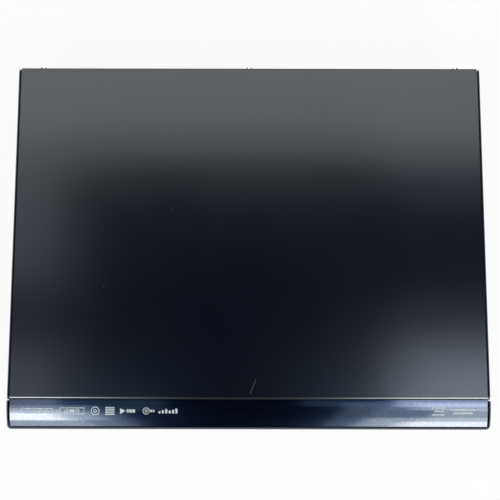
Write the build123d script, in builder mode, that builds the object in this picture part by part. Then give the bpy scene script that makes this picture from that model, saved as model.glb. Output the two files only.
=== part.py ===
"""A full-width home recorder with a disc drive, a cassette deck and a hard drive, as an assembly.

Millimetres, +Z up, front towards -Y. The origin is on the floor, below the middle of the whole part.
"""

import math
import os

from build123d import *

os.makedirs("parts", exist_ok=True)

# Driving dimensions of the casing
case_width = 430.0
case_depth = 330.0
case_top = 89.0
socket_reach = 8.0
bezel_depth = 26.5
foot_height = 7.0
panel_sheet = 1.0
cover_sheet = 0.8
cover_inset = 0.8
bend_radius = 3.0

# Clearances shared by the whole assembly
seat_gap = 0.3
pin_gap = 0.06
cut_over = 6.0

# Places that follow from the casing
front_y = -(case_depth + socket_reach) / 2
rear_y = front_y + case_depth
cover_front_y = front_y + bezel_depth
cover_half = case_width / 2 - cover_inset
case_half = case_width / 2
inner_half = cover_half - cover_sheet - seat_gap
base_bottom = foot_height
base_top = base_bottom + panel_sheet
rear_panel_y = rear_y - cover_sheet - panel_sheet
cover_under = case_top - cover_sheet


def block(x_low, x_high, y_low, y_high, z_low, z_high, mode=Mode.ADD):
    """A box between two opposite corners."""
    with Locations(((x_low + x_high) / 2, (y_low + y_high) / 2, (z_low + z_high) / 2)):
        Box(x_high - x_low, y_high - y_low, z_high - z_low, mode=mode)


def post(x, y, z_low, z_high, radius, mode=Mode.ADD):
    """A round upright between two heights."""
    with Locations((x, y, (z_low + z_high) / 2)):
        Cylinder(radius, z_high - z_low, mode=mode)


def bar_x(x_low, x_high, y, z, radius, mode=Mode.ADD):
    """A round bar along X."""
    with Locations(Location(((x_low + x_high) / 2, y, z), (0, 90, 0))):
        Cylinder(radius, x_high - x_low, mode=mode)


def bar_y(x, y_low, y_high, z, radius, mode=Mode.ADD):
    """A round bar along Y."""
    with Locations(Location((x, (y_low + y_high) / 2, z), (90, 0, 0))):
        Cylinder(radius, y_high - y_low, mode=mode)


def save(piece, name):
    """Labels a finished piece and writes it as its own node."""
    piece.part.label = name
    export_step(piece.part, f"parts/{name}.step")


# Side by side inside: the cassette deck on the left, the disc drive on its bracket on the right
side_margin = 9.0
flap_width = 194.0
deck_half = 101.0
drive_half = 69.0
bracket_margin = 3.0
bracket_gap_share = 0.6
flap_left = -case_half + side_margin
flap_right = flap_left + flap_width
deck_x = (flap_left + flap_right) / 2
deck_right = deck_x + deck_half
bracket_width = 2 * drive_half + 2 * bracket_margin
bracket_left = deck_right + (inner_half - deck_right - bracket_width) * bracket_gap_share
bracket_right = bracket_left + bracket_width
drive_x = (bracket_left + bracket_right) / 2

# Front layout: cassette flap upper left, tray upper right, door lower left, window lower right
flap_height = 31.0
upper_band_top = 77.0
flap_top = upper_band_top
flap_bottom = flap_top - flap_height

tray_front_width = 142.0
tray_front_height = 17.0
tray_top_drop = 3.0
tray_front_top = upper_band_top - tray_top_drop
tray_front_bottom = tray_front_top - tray_front_height

power_radius = 7.0
power_gap = 10.0
power_x = case_half - side_margin - power_radius
window_width = 118.0
window_height = 15.0
window_right = power_x - power_radius - power_gap
window_left = window_right - window_width

door_height = 31.0
door_gap = 22.0
lower_band_bottom = 11.0
door_left = flap_left
door_right = window_left - door_gap
door_bottom = lower_band_bottom
door_top = door_bottom + door_height
window_top = door_top
window_bottom = window_top - window_height

# Front bezel: a moulded shell with a crowned top that rolls into the front face
bezel_wall = 2.5
bezel_step = 0.8
bezel_top = case_top - bezel_step
bezel_drop = 6.0
bezel_crown = 1.6
bezel_front_round = 5.0
bezel_corner_round = 4.0
bezel_reveal = 0.9
lip_reach = 4.0
lip_thick = 2.0
lip_drop = 3.7
bezel_bottom = base_bottom
opening_gap = 0.5
door_thick = 2.6
door_pivot_radius = 1.7
recess_depth = 9.0
recess_wall = 2.0
window_thick = 2.0
window_rim = 2.0
flap_thick = 2.2
flap_set_back = 0.3
flap_pivot_back = 4.2
flap_pivot_drop = 2.2
flap_pin_radius = 1.2
flap_pin_reach = 3.0
ear_radius = 2.8
ear_thick = 4.0
door_pin_radius = 0.9
door_pin_reach = 1.6

bezel_back_y = cover_front_y + lip_reach
recess_back_y = front_y + recess_depth
flap_pivot_y = front_y + flap_pivot_back
flap_pivot_z = flap_top - flap_pivot_drop
door_pivot_y = front_y + door_pivot_radius + flap_set_back
door_pivot_z = door_bottom + door_pivot_radius

# Buttons on the front face and behind the door
power_z = (window_top + window_bottom) / 2
key_width = 24.0
key_height = 6.0
key_row_z = (lower_band_bottom + window_bottom) / 2
disc_key_x = window_right - window_width / 4
cassette_key_x = window_left + window_width / 4
small_key_width = 11.0
small_key_height = 6.5
small_key_pitch = 17.0
small_keys = ["record_button", "stop_button", "play_button"]
small_key_first_x = door_right - len(small_keys) * small_key_pitch
small_key_z = (door_bottom + door_top) / 2
key_gap = 0.25
key_flange = 1.4
key_flange_thick = 1.2
key_set_back = 0.2
key_stem_radius = 1.6
key_travel = 0.8
key_round = 1.0

# Sockets behind the door
front_jack_pitch = 16.0
front_jack_first_x = door_left + front_jack_pitch
front_jack_count = 3
front_jack_radius = 4.2
front_jack_bore = 1.7
front_jack_z = small_key_z
usb_width = 14.4
usb_height = 7.0
usb_x = front_jack_first_x + front_jack_count * front_jack_pitch + usb_width / 2
card_width = 28.0
card_height = 4.6
card_x = usb_x + usb_width / 2 + front_jack_pitch / 2 + card_width / 2

# Front board behind the bezel
board_thick = 1.6
front_board_inset = 7.5
switch_height = 3.2
board_boss_inset = 5.0
board_boss_radius = 2.5
front_board_y = recess_back_y + recess_wall + switch_height + key_travel + key_flange_thick
front_board_left = door_left + bezel_wall
front_board_right = case_half - front_board_inset
front_board_bottom = bezel_bottom + bezel_wall + seat_gap
front_board_top = flap_bottom - panel_sheet

with BuildPart() as front_bezel:
    with BuildSketch(Plane.YZ.offset(-case_half)) as bezel_profile:
        with BuildLine() as bezel_outline:
            top_back = (cover_front_y - bezel_reveal, bezel_top)
            top_front = (front_y, bezel_top - bezel_drop)
            SagittaArc(top_back, top_front, -bezel_crown)
            Polyline(
                top_front,
                (front_y, bezel_bottom),
                (bezel_back_y, bezel_bottom),
                (bezel_back_y, bezel_top - lip_drop),
                (cover_front_y - bezel_reveal, bezel_top - lip_drop),
                top_back,
            )
        make_face()
    extrude(amount=case_width)
    top_front_edge = front_bezel.edges().filter_by(Axis.X).filter_by_position(
        Axis.Y, front_y - seat_gap, front_y + seat_gap
    ).sort_by(Axis.Z)[-1]
    fillet(top_front_edge, bezel_front_round)
    upright_edges = front_bezel.edges().filter_by(Axis.Z).filter_by_position(
        Axis.Y, front_y - seat_gap, front_y + seat_gap
    )
    fillet(upright_edges, bezel_corner_round)
    # The hollow inside follows the same crowned outline, one wall in
    with BuildSketch(Plane.YZ.offset(-case_half + bezel_wall)) as hollow_profile:
        with BuildLine() as hollow_outline:
            hollow_back_z = bezel_top - lip_drop - lip_thick
            hollow_front = (front_y + bezel_wall, bezel_top - bezel_drop - bezel_wall - lip_thick)
            Polyline(
                (bezel_back_y + cut_over, hollow_back_z),
                (cover_front_y - bezel_reveal - lip_thick, hollow_back_z),
                hollow_front,
                (front_y + bezel_wall, bezel_bottom + bezel_wall),
                (bezel_back_y + cut_over, bezel_bottom + bezel_wall),
                (bezel_back_y + cut_over, hollow_back_z),
            )
        make_face()
    extrude(amount=case_width - 2 * bezel_wall, mode=Mode.SUBTRACT)
    # The side walls stop short of the cover behind the groove
    for side in (-1, 1):
        block(
            side * (cover_half + cover_inset + cut_over) if side < 0 else inner_half,
            -inner_half if side < 0 else cover_half + cover_inset + cut_over,
            cover_front_y - bezel_reveal,
            bezel_back_y + cut_over,
            bezel_bottom - cut_over,
            case_top + cut_over,
            mode=Mode.SUBTRACT,
        )
    # Recessed socket panel behind the door
    block(
        door_left - recess_wall,
        door_right + recess_wall,
        front_y + bezel_wall / 2,
        recess_back_y + recess_wall,
        bezel_bottom + bezel_wall / 2,
        door_top + recess_wall,
    )
    block(
        door_left - opening_gap,
        door_right + opening_gap,
        front_y - cut_over,
        recess_back_y,
        door_bottom - opening_gap,
        door_top + opening_gap,
        mode=Mode.SUBTRACT,
    )
    for side in (-1, 1):
        door_end = door_left - opening_gap if side < 0 else door_right + opening_gap
        bar_x(
            door_end - door_pin_reach,
            door_end + door_pin_reach,
            door_pivot_y,
            door_pivot_z,
            door_pin_radius + pin_gap,
            mode=Mode.SUBTRACT,
        )
    # Cassette mouth with its pivot ears
    for ear_x in (flap_left - opening_gap - ear_thick / 2, flap_right + opening_gap + ear_thick / 2):
        bar_x(ear_x - ear_thick / 2, ear_x + ear_thick / 2, flap_pivot_y, flap_pivot_z, ear_radius)
        block(
            ear_x - ear_thick / 2,
            ear_x + ear_thick / 2,
            front_y + bezel_wall / 2,
            flap_pivot_y,
            flap_pivot_z - ear_radius,
            flap_pivot_z + ear_radius,
        )
    block(
        flap_left - opening_gap,
        flap_right + opening_gap,
        front_y - cut_over,
        front_y + bezel_wall + cut_over,
        flap_bottom - opening_gap,
        flap_top + opening_gap,
        mode=Mode.SUBTRACT,
    )
    bar_x(
        flap_left - flap_pin_reach - opening_gap,
        flap_right + flap_pin_reach + opening_gap,
        flap_pivot_y,
        flap_pivot_z,
        flap_pin_radius + pin_gap,
        mode=Mode.SUBTRACT,
    )
    # Tray mouth
    block(
        drive_x - tray_front_width / 2 - opening_gap,
        drive_x + tray_front_width / 2 + opening_gap,
        front_y - cut_over,
        front_y + bezel_wall + cut_over,
        tray_front_bottom - opening_gap,
        tray_front_top + opening_gap,
        mode=Mode.SUBTRACT,
    )
    # Window seat with a smaller opening through it
    block(
        window_left - window_rim,
        window_right + window_rim,
        front_y + bezel_wall / 2,
        front_y + window_thick + window_rim,
        window_bottom - window_rim,
        window_top + window_rim,
    )
    block(
        window_left - pin_gap,
        window_right + pin_gap,
        front_y - cut_over,
        front_y + window_thick,
        window_bottom - pin_gap,
        window_top + pin_gap,
        mode=Mode.SUBTRACT,
    )
    block(
        window_left + window_rim,
        window_right - window_rim,
        front_y,
        front_y + window_thick + cut_over,
        window_bottom + window_rim,
        window_top - window_rim,
        mode=Mode.SUBTRACT,
    )
    # Button holes in the front wall
    bar_y(power_x, front_y - cut_over, front_y + bezel_wall + cut_over, power_z, power_radius + key_gap,
          mode=Mode.SUBTRACT)
    for key_x in (disc_key_x, cassette_key_x):
        block(
            key_x - key_width / 2 - key_gap,
            key_x + key_width / 2 + key_gap,
            front_y - cut_over,
            front_y + bezel_wall + cut_over,
            key_row_z - key_height / 2 - key_gap,
            key_row_z + key_height / 2 + key_gap,
            mode=Mode.SUBTRACT,
        )
    # Holes in the socket panel
    for place in range(len(small_keys)):
        key_x = small_key_first_x + place * small_key_pitch
        block(
            key_x - small_key_width / 2 - key_gap,
            key_x + small_key_width / 2 + key_gap,
            recess_back_y - recess_wall,
            recess_back_y + recess_wall + cut_over,
            small_key_z - small_key_height / 2 - key_gap,
            small_key_z + small_key_height / 2 + key_gap,
            mode=Mode.SUBTRACT,
        )
    for place in range(front_jack_count):
        bar_y(
            front_jack_first_x + place * front_jack_pitch,
            recess_back_y - recess_wall,
            recess_back_y + recess_wall + cut_over,
            front_jack_z,
            front_jack_radius + key_gap,
            mode=Mode.SUBTRACT,
        )
    for slot_x, slot_width, slot_height in (
        (usb_x, usb_width, usb_height),
        (card_x, card_width, card_height),
    ):
        block(
            slot_x - slot_width / 2 - key_gap,
            slot_x + slot_width / 2 + key_gap,
            recess_back_y - recess_wall,
            recess_back_y + recess_wall + cut_over,
            front_jack_z - slot_height / 2 - key_gap,
            front_jack_z + slot_height / 2 + key_gap,
            mode=Mode.SUBTRACT,
        )
    # Bosses that carry the front board
    for boss_x in (front_board_left + board_boss_inset, door_right - board_boss_inset):
        bar_y(boss_x, recess_back_y + recess_wall / 2, front_board_y, door_top - board_boss_radius,
              board_boss_radius)
    for boss_x in (window_left - board_boss_inset, front_board_right - board_boss_inset):
        bar_y(boss_x, front_y + bezel_wall / 2, front_board_y, key_row_z, board_boss_radius)
save(front_bezel, "front_bezel")

# Display window, seated in the bezel
with BuildPart() as display_window:
    block(window_left, window_right, front_y, front_y + window_thick, window_bottom, window_top)
save(display_window, "display_window")

# Cassette flap: a panel with a pivot pin at each end of its upper edge
flap_rib_thick = 1.6
with BuildPart() as cassette_flap:
    flap_face_y = front_y + flap_set_back
    block(flap_left, flap_right, flap_face_y, flap_face_y + flap_thick, flap_bottom, flap_top)
    flap_edges = cassette_flap.edges().filter_by(Axis.X).filter_by_position(
        Axis.Y, flap_face_y - pin_gap, flap_face_y + pin_gap
    )
    fillet(flap_edges, flap_thick / 4)
    for end_x in (flap_left, flap_right - flap_rib_thick):
        block(
            end_x,
            end_x + flap_rib_thick,
            flap_face_y + flap_thick / 2,
            flap_pivot_y + flap_pin_radius,
            flap_pivot_z - flap_pin_radius,
            flap_pivot_z + flap_pin_radius,
        )
    for pin_low, pin_high in (
        (flap_left - flap_pin_reach, flap_left + flap_rib_thick),
        (flap_right - flap_rib_thick, flap_right + flap_pin_reach),
    ):
        bar_x(pin_low, pin_high, flap_pivot_y, flap_pivot_z, flap_pin_radius)
save(cassette_flap, "cassette_flap")

# Fold-down door over the socket panel, with a full-round lower edge on its pivot line
finger_lip_width = 40.0
finger_lip_depth = 1.2
with BuildPart() as front_door:
    door_face_y = door_pivot_y - door_pivot_radius
    block(door_left, door_right, door_face_y, door_face_y + door_thick, door_pivot_z, door_top)
    bar_x(door_left, door_right, door_pivot_y, door_pivot_z, door_pivot_radius)
    for end_x, side in ((door_left, -1), (door_right, 1)):
        pin_end = end_x + side * door_pin_reach
        bar_x(min(end_x, pin_end), max(end_x, pin_end), door_pivot_y, door_pivot_z, door_pin_radius)
    door_middle_x = (door_left + door_right) / 2
    block(
        door_middle_x - finger_lip_width / 2,
        door_middle_x + finger_lip_width / 2,
        door_face_y - cut_over,
        door_face_y + finger_lip_depth,
        door_top - finger_lip_depth,
        door_top + cut_over,
        mode=Mode.SUBTRACT,
    )
save(front_door, "front_door")


def press_key(name, key_x, key_z, width, height, wall_y, wall, radius=None):
    """A button that fills its hole, with a flange against the back of the wall and a stem to its switch."""
    with BuildPart() as key:
        flange_y = wall_y + wall
        if radius:
            bar_y(key_x, wall_y + key_set_back, flange_y, key_z, radius)
            bar_y(key_x, flange_y, flange_y + key_flange_thick, key_z, radius + key_flange)
        else:
            block(
                key_x - width / 2, key_x + width / 2, wall_y + key_set_back, flange_y,
                key_z - height / 2, key_z + height / 2,
            )
            fillet(key.edges().filter_by(Axis.Y), key_round)
            block(
                key_x - width / 2 - key_flange, key_x + width / 2 + key_flange, flange_y,
                flange_y + key_flange_thick, key_z - height / 2 - key_flange, key_z + height / 2 + key_flange,
            )
        stem_end = front_board_y - key_travel - seat_gap
        bar_y(key_x, flange_y + key_flange_thick / 2, stem_end, key_z, key_stem_radius)
    save(key, name)


press_key("power_button", power_x, power_z, 0, 0, front_y, bezel_wall, radius=power_radius)
press_key("disc_open_button", disc_key_x, key_row_z, key_width, key_height, front_y, bezel_wall)
press_key("cassette_eject_button", cassette_key_x, key_row_z, key_width, key_height, front_y, bezel_wall)
for place, key_name in enumerate(small_keys):
    press_key(
        key_name, small_key_first_x + place * small_key_pitch, small_key_z,
        small_key_width, small_key_height, recess_back_y, recess_wall,
    )

# Front board, with the display module standing on it behind the window
display_inset = 2.5
display_gap = 2.0
with BuildPart() as front_board:
    block(
        front_board_left, front_board_right, front_board_y, front_board_y + board_thick,
        front_board_bottom, front_board_top,
    )
save(front_board, "front_board")

with BuildPart() as display_module:
    block(
        window_left + display_inset, window_right - display_inset,
        front_y + window_thick + window_rim + display_gap, front_board_y,
        window_bottom + window_rim, window_top - window_rim,
    )
    fillet(display_module.edges().filter_by(Axis.Y), display_inset / 2)
save(display_module, "display_module")

# Front sockets: three round jacks, a USB shell and a card slot, all standing on the front board
jack_lip = 1.2
jack_depth = 6.0
usb_wall = 0.7
usb_tongue = 1.8
usb_tongue_width_share = 0.8
card_wall = 0.9
with BuildPart() as front_av_sockets:
    for place in range(front_jack_count):
        jack_x = front_jack_first_x + place * front_jack_pitch
        bar_y(jack_x, recess_back_y - jack_lip, front_board_y, front_jack_z, front_jack_radius)
        bar_y(
            jack_x, recess_back_y - jack_lip - cut_over, recess_back_y - jack_lip + jack_depth,
            front_jack_z, front_jack_bore, mode=Mode.SUBTRACT,
        )
save(front_av_sockets, "front_av_sockets")

with BuildPart() as usb_socket:
    usb_front_y = recess_back_y - pin_gap
    block(
        usb_x - usb_width / 2, usb_x + usb_width / 2, usb_front_y, front_board_y,
        front_jack_z - usb_height / 2, front_jack_z + usb_height / 2,
    )
    block(
        usb_x - usb_width / 2 + usb_wall, usb_x + usb_width / 2 - usb_wall, usb_front_y - cut_over,
        front_board_y - usb_wall, front_jack_z - usb_height / 2 + usb_wall,
        front_jack_z + usb_height / 2 - usb_wall, mode=Mode.SUBTRACT,
    )
    tongue_half = usb_width * usb_tongue_width_share / 2
    block(
        usb_x - tongue_half, usb_x + tongue_half, usb_front_y + usb_wall, front_board_y - usb_wall / 2,
        front_jack_z, front_jack_z + usb_tongue,
    )
save(usb_socket, "usb_socket")

with BuildPart() as card_slot:
    card_front_y = recess_back_y - pin_gap
    block(
        card_x - card_width / 2, card_x + card_width / 2, card_front_y, front_board_y,
        front_jack_z - card_height / 2, front_jack_z + card_height / 2,
    )
    block(
        card_x - card_width / 2 + card_wall, card_x + card_width / 2 - card_wall, card_front_y - cut_over,
        front_board_y - card_wall, front_jack_z - card_height / 2 + card_wall,
        front_jack_z + card_height / 2 - card_wall, mode=Mode.SUBTRACT,
    )
save(card_slot, "card_slot")

# Places of the deck, the boards and the feet
deck_set_back = 14.0
deck_front_y = cover_front_y + deck_set_back
deck_depth = 208.0
deck_back_y = deck_front_y + deck_depth
deck_z = 24.0
deck_sheet = 1.6
deck_top = deck_z + deck_sheet
deck_post_radius = 4.0
deck_post_inset = 8.0
bracket_z = 38.4
bracket_sheet = 1.6
bracket_top = bracket_z + bracket_sheet
bracket_rear_gap = 11.0
bracket_front_y = bezel_back_y + bracket_margin
bracket_back_y = rear_panel_y - bracket_rear_gap
main_board_z = 16.0
main_board_set_back = 60.0
main_board_side_gap = 1.9
main_board_rear_inset = 18.0
power_board_inset = 12.0
fan_size = 50.0
fan_gap = 6.0
main_board_top = main_board_z + board_thick
main_board_left = bracket_left + bracket_sheet + main_board_side_gap
main_board_right = bracket_right - bracket_sheet - main_board_side_gap
main_board_front_y = bracket_front_y + main_board_set_back
main_board_back_y = rear_panel_y - seat_gap
power_board_left = -inner_half + power_board_inset
power_board_right = bracket_left - fan_size - 2 * fan_gap
power_board_front_y = deck_back_y + bracket_margin
power_board_back_y = rear_panel_y - bracket_margin
board_post_radius = 3.0
board_post_inset = 6.0
foot_radius = 17.0
foot_inset_x = 48.0
foot_inset_y = 36.0
foot_pad_thick = 1.5
foot_pad_radius = 12.0
foot_pad_sink = 0.8
foot_places = [
    (side_x * (case_half - foot_inset_x), (front_y + foot_inset_y) if side_y < 0 else (rear_y - foot_inset_y))
    for side_x in (-1, 1)
    for side_y in (-1, 1)
]
main_board_posts = [
    (x, y)
    for x in (main_board_left + board_post_inset, main_board_right - board_post_inset)
    for y in (main_board_front_y + board_post_inset, main_board_back_y - main_board_rear_inset)
]
power_board_posts = [
    (x, y)
    for x in (power_board_left + board_post_inset, power_board_right - board_post_inset)
    for y in (power_board_front_y + board_post_inset, power_board_back_y - board_post_inset)
]
deck_posts = [
    (deck_x + side_x * (deck_half - deck_post_inset), y)
    for side_x in (-1, 1)
    for y in (deck_front_y + deck_post_inset, deck_back_y - deck_post_inset)
]

# Base chassis: a folded steel pan with flanges, posts for the boards and the deck, and vents
side_flange_height = 14.0
rear_flange_height = 7.0
vent_length = 34.0
vent_width = 3.5
vent_pitch = 9.0
vent_count = 9
rear_screw_radius = 1.4
rear_screw_head = 3.2
rear_screw_head_thick = 1.9
rear_screw_length = 6.0
rear_screw_inset = 22.0
rear_low_screw_z = base_top + rear_flange_height / 2
cover_flange_drop = 13.0
rear_high_screw_z = case_top - cover_flange_drop / 2
rear_screw_xs = [-cover_half + rear_screw_inset, 0, cover_half - rear_screw_inset]

with BuildPart() as base_chassis:
    block(-inner_half, inner_half, bezel_back_y, rear_panel_y, base_bottom, base_top)
    for side in (-1, 1):
        flange_x = side * (inner_half - panel_sheet / 2)
        block(
            flange_x - panel_sheet / 2, flange_x + panel_sheet / 2, bezel_back_y, rear_panel_y,
            base_bottom, base_top + side_flange_height,
        )
    block(
        -inner_half, inner_half, bezel_back_y, bezel_back_y + panel_sheet,
        base_bottom, base_top + side_flange_height,
    )
    block(
        -inner_half, inner_half, rear_panel_y - panel_sheet, rear_panel_y,
        base_bottom, base_top + rear_flange_height,
    )
    for x, y in main_board_posts + power_board_posts:
        post(x, y, base_top, main_board_z, board_post_radius)
    for x, y in deck_posts:
        post(x, y, base_top, deck_z, deck_post_radius)
    for x in rear_screw_xs:
        bar_y(x, rear_panel_y - cut_over, rear_panel_y + cut_over, rear_low_screw_z,
              rear_screw_radius + pin_gap, mode=Mode.SUBTRACT)
    for vent_x, vent_y in ((deck_x, deck_front_y + deck_depth / 2), (drive_x, (cover_front_y + rear_y) / 2)):
        for place in range(vent_count):
            slot_x = vent_x + (place - (vent_count - 1) / 2) * vent_pitch
            block(
                slot_x - vent_width / 2, slot_x + vent_width / 2, vent_y - vent_length / 2,
                vent_y + vent_length / 2, base_bottom - cut_over, base_top + cut_over, mode=Mode.SUBTRACT,
            )
save(base_chassis, "base_chassis")

# Feet with soft pads let into their undersides
foot_cup = 0.9
with BuildPart() as feet:
    for x, y in foot_places:
        post(x, y, foot_pad_thick - foot_pad_sink, base_bottom, foot_radius)
    fillet(feet.edges().filter_by(GeomType.CIRCLE).group_by(Axis.Z)[0], foot_cup)
    for x, y in foot_places:
        post(x, y, 0, foot_pad_thick, foot_pad_radius + pin_gap, mode=Mode.SUBTRACT)
save(feet, "feet")

with BuildPart() as foot_pads:
    for x, y in foot_places:
        post(x, y, 0, foot_pad_thick, foot_pad_radius)
save(foot_pads, "foot_pads")

# Places of the rear sockets, the fan and the mains inlet
jack_pitch = 15.0
jack_columns = 3
jack_rows = 2
jack_radius = 4.15
jack_bore = 1.7
jack_block_margin = 2.0
jack_block_depth = 10.0
jack_block_width = jack_columns * jack_pitch + jack_block_margin
jack_block_height = jack_rows * jack_pitch - jack_block_margin
tuner_width = 34.0
tuner_depth = 42.0
tuner_height = 19.0
aerial_pitch = 17.0
aerial_radius = 4.75
aerial_bore = 1.2
aerial_nut_across = 11.0
aerial_nut_thick = 2.0
aerial_nut_sides = 6
hdmi_width = 15.2
hdmi_height = 6.2
hdmi_depth = 11.0
lan_width = 16.2
lan_height = 13.6
lan_depth = 15.0
socket_spacing = 6.0
inlet_width = 26.0
inlet_height = 20.0
inlet_depth = 22.0
inlet_inset = 4.0
fan_depth = 15.0
fan_lift = 12.0
fan_bore = 23.5
hole_gap = 0.4

tuner_x = main_board_right - socket_spacing / 2 - tuner_width / 2
jack_block_x = tuner_x - tuner_width / 2 - socket_spacing - jack_block_width / 2
hdmi_x = jack_block_x - jack_block_width / 2 - socket_spacing - hdmi_width / 2
lan_x = hdmi_x - hdmi_width / 2 - socket_spacing - lan_width / 2
inlet_x = power_board_left + inlet_inset + inlet_width / 2
fan_x = (power_board_right + bracket_left) / 2
fan_z = base_top + fan_lift + fan_size / 2
socket_tip_y = rear_y + socket_reach
aerial_z = main_board_top + tuner_height / 2
hdmi_z = main_board_top + hdmi_height / 2
lan_z = main_board_top + lan_height / 2
inlet_z = main_board_top + inlet_height / 2
jack_places = [
    (
        jack_block_x + (column - (jack_columns - 1) / 2) * jack_pitch,
        main_board_top + jack_block_height / 2
        + (row - (jack_rows - 1) / 2) * (jack_pitch - jack_block_margin),
    )
    for column in range(jack_columns)
    for row in range(jack_rows)
]
aerial_places = [tuner_x - aerial_pitch / 2, tuner_x + aerial_pitch / 2]

# Rear panel with its socket holes, screw holes and fan grille
panel_flange = 10.0
panel_top = cover_under - seat_gap
grille_rings = 4
grille_hub = 7.0
grille_slot = 3.2
grille_spoke = 3.6
slot_column_count = 9
with BuildPart() as rear_panel:
    panel_out_y = rear_panel_y + panel_sheet
    block(-inner_half, inner_half, rear_panel_y, panel_out_y, base_bottom, panel_top)
    fillet(rear_panel.edges().filter_by(Axis.Y).group_by(Axis.Z)[-1], bend_radius)
    block(
        -inner_half + bend_radius, inner_half - bend_radius, rear_panel_y - panel_flange, panel_out_y,
        panel_top - panel_sheet, panel_top,
    )
    for x in rear_screw_xs:
        for z in (rear_low_screw_z, rear_high_screw_z):
            bar_y(x, rear_panel_y - cut_over, rear_y, z, rear_screw_radius + pin_gap, mode=Mode.SUBTRACT)
    for x, z in jack_places:
        bar_y(x, rear_panel_y - seat_gap, rear_y, z, jack_radius + hole_gap, mode=Mode.SUBTRACT)
    for x in aerial_places:
        bar_y(x, rear_panel_y - seat_gap, rear_y, aerial_z, aerial_radius + hole_gap, mode=Mode.SUBTRACT)
    for x, z, width, height in (
        (hdmi_x, hdmi_z, hdmi_width, hdmi_height),
        (lan_x, lan_z, lan_width, lan_height),
        (inlet_x, inlet_z, inlet_width, inlet_height),
    ):
        block(
            x - width / 2 - hole_gap, x + width / 2 + hole_gap, rear_panel_y - seat_gap, rear_y,
            z - height / 2 - hole_gap, z + height / 2 + hole_gap, mode=Mode.SUBTRACT,
        )
    # Ring slots of the fan grille, broken by a cross of spokes
    ring_pitch = (fan_bore - grille_hub) / grille_rings
    with BuildSketch(Plane.XZ.offset(-panel_out_y)) as grille:
        with Locations((fan_x, fan_z)):
            for ring in reversed(range(grille_rings)):
                Circle(grille_hub + ring * ring_pitch + grille_slot)
                Circle(grille_hub + ring * ring_pitch, mode=Mode.SUBTRACT)
            for turn in (45, 135):
                Rectangle(2 * fan_bore + cut_over, grille_spoke, rotation=turn, mode=Mode.SUBTRACT)
    extrude(amount=cut_over, both=True, mode=Mode.SUBTRACT)
    # A block of cooling slots behind the power board
    for place in range(slot_column_count):
        slot_x = (inlet_x + inlet_width / 2 + fan_x - fan_size / 2) / 2
        slot_x += (place - (slot_column_count - 1) / 2) * vent_pitch
        block(
            slot_x - vent_width / 2, slot_x + vent_width / 2, rear_panel_y - seat_gap, rear_y,
            fan_z - vent_length / 2, fan_z + vent_length / 2, mode=Mode.SUBTRACT,
        )
save(rear_panel, "rear_panel")

# Top cover: one folded sheet, with a rolled front edge, a rear flange and side vents
hem_drop = 3.4
hem_round = 2.2
flange_round = 1.0
hem_notch = 3.2
hem_notch_depth = 2.6
side_vent_count = 12
side_vent_pitch = 8.0
side_vent_length = 26.0
side_vent_width = 3.0
side_vent_z = 46.0
side_vent_back = 40.0
with BuildPart() as cover_inside:
    block(
        -cover_half + cover_sheet, cover_half - cover_sheet, cover_front_y - cut_over,
        rear_y + cut_over, base_bottom - cut_over, cover_under,
    )
    fillet(cover_inside.edges().filter_by(Axis.Y).group_by(Axis.Z)[-1], bend_radius - cover_sheet)

with BuildPart() as top_cover:
    block(-cover_half, cover_half, cover_front_y, rear_y, base_bottom, case_top)
    fillet(top_cover.edges().filter_by(Axis.Y).group_by(Axis.Z)[-1], bend_radius)
    add(cover_inside.part, mode=Mode.SUBTRACT)
    # Each fold stops short of the side bends, with a relief notch at both ends
    for edge_y, inward, drop in ((cover_front_y, 1, hem_drop), (rear_y, -1, cover_flange_drop)):
        fold_y = edge_y + inward * cover_sheet / 2
        block(
            -cover_half + hem_notch, cover_half - hem_notch,
            fold_y - cover_sheet / 2, fold_y + cover_sheet / 2,
            case_top - drop, cover_under + cover_sheet / 2,
        )
        for side in (-1, 1):
            notch_x = side * (cover_half - hem_notch / 2)
            notch_y = edge_y + inward * (hem_notch_depth - cut_over) / 2
            block(
                notch_x - hem_notch / 2, notch_x + hem_notch / 2, notch_y - (cut_over + hem_notch_depth) / 2,
                notch_y + (cut_over + hem_notch_depth) / 2, case_top - hem_drop, case_top + cut_over,
                mode=Mode.SUBTRACT,
            )
    for edge_y, edge_round in (
        (rear_y, flange_round),
        (cover_front_y, hem_round),
        (cover_front_y + cover_sheet, hem_round - cover_sheet),
    ):
        folded_edge = top_cover.edges().filter_by(Axis.X).filter_by_position(
            Axis.Y, edge_y - pin_gap, edge_y + pin_gap
        ).sort_by(Axis.Z)[-1]
        fillet(folded_edge, edge_round)
    for place in range(side_vent_count):
        vent_y = rear_y - side_vent_back - place * side_vent_pitch
        block(
            -case_half - cut_over, case_half + cut_over, vent_y - side_vent_width / 2,
            vent_y + side_vent_width / 2, side_vent_z - side_vent_length / 2,
            side_vent_z + side_vent_length / 2, mode=Mode.SUBTRACT,
        )
    for x in rear_screw_xs:
        bar_y(x, rear_y - cut_over, rear_y + cut_over, rear_high_screw_z, rear_screw_radius + pin_gap,
              mode=Mode.SUBTRACT)
save(top_cover, "top_cover")

# Casing screws: the upper row holds the cover, the lower row holds the rear panel
cross_slot = 0.7
with BuildPart() as casing_screws:
    for x in rear_screw_xs:
        for z, seat_y in ((rear_high_screw_z, rear_y), (rear_low_screw_z, panel_out_y)):
            bar_y(x, seat_y - rear_screw_length, seat_y, z, rear_screw_radius)
            bar_y(x, seat_y, seat_y + rear_screw_head_thick, z, rear_screw_head)
            for wide, tall in ((rear_screw_head, cross_slot), (cross_slot, rear_screw_head)):
                block(
                    x - wide / 2, x + wide / 2, seat_y + rear_screw_head_thick / 2,
                    seat_y + rear_screw_head_thick + cut_over, z - tall / 2, z + tall / 2, mode=Mode.SUBTRACT,
                )
save(casing_screws, "casing_screws")

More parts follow.
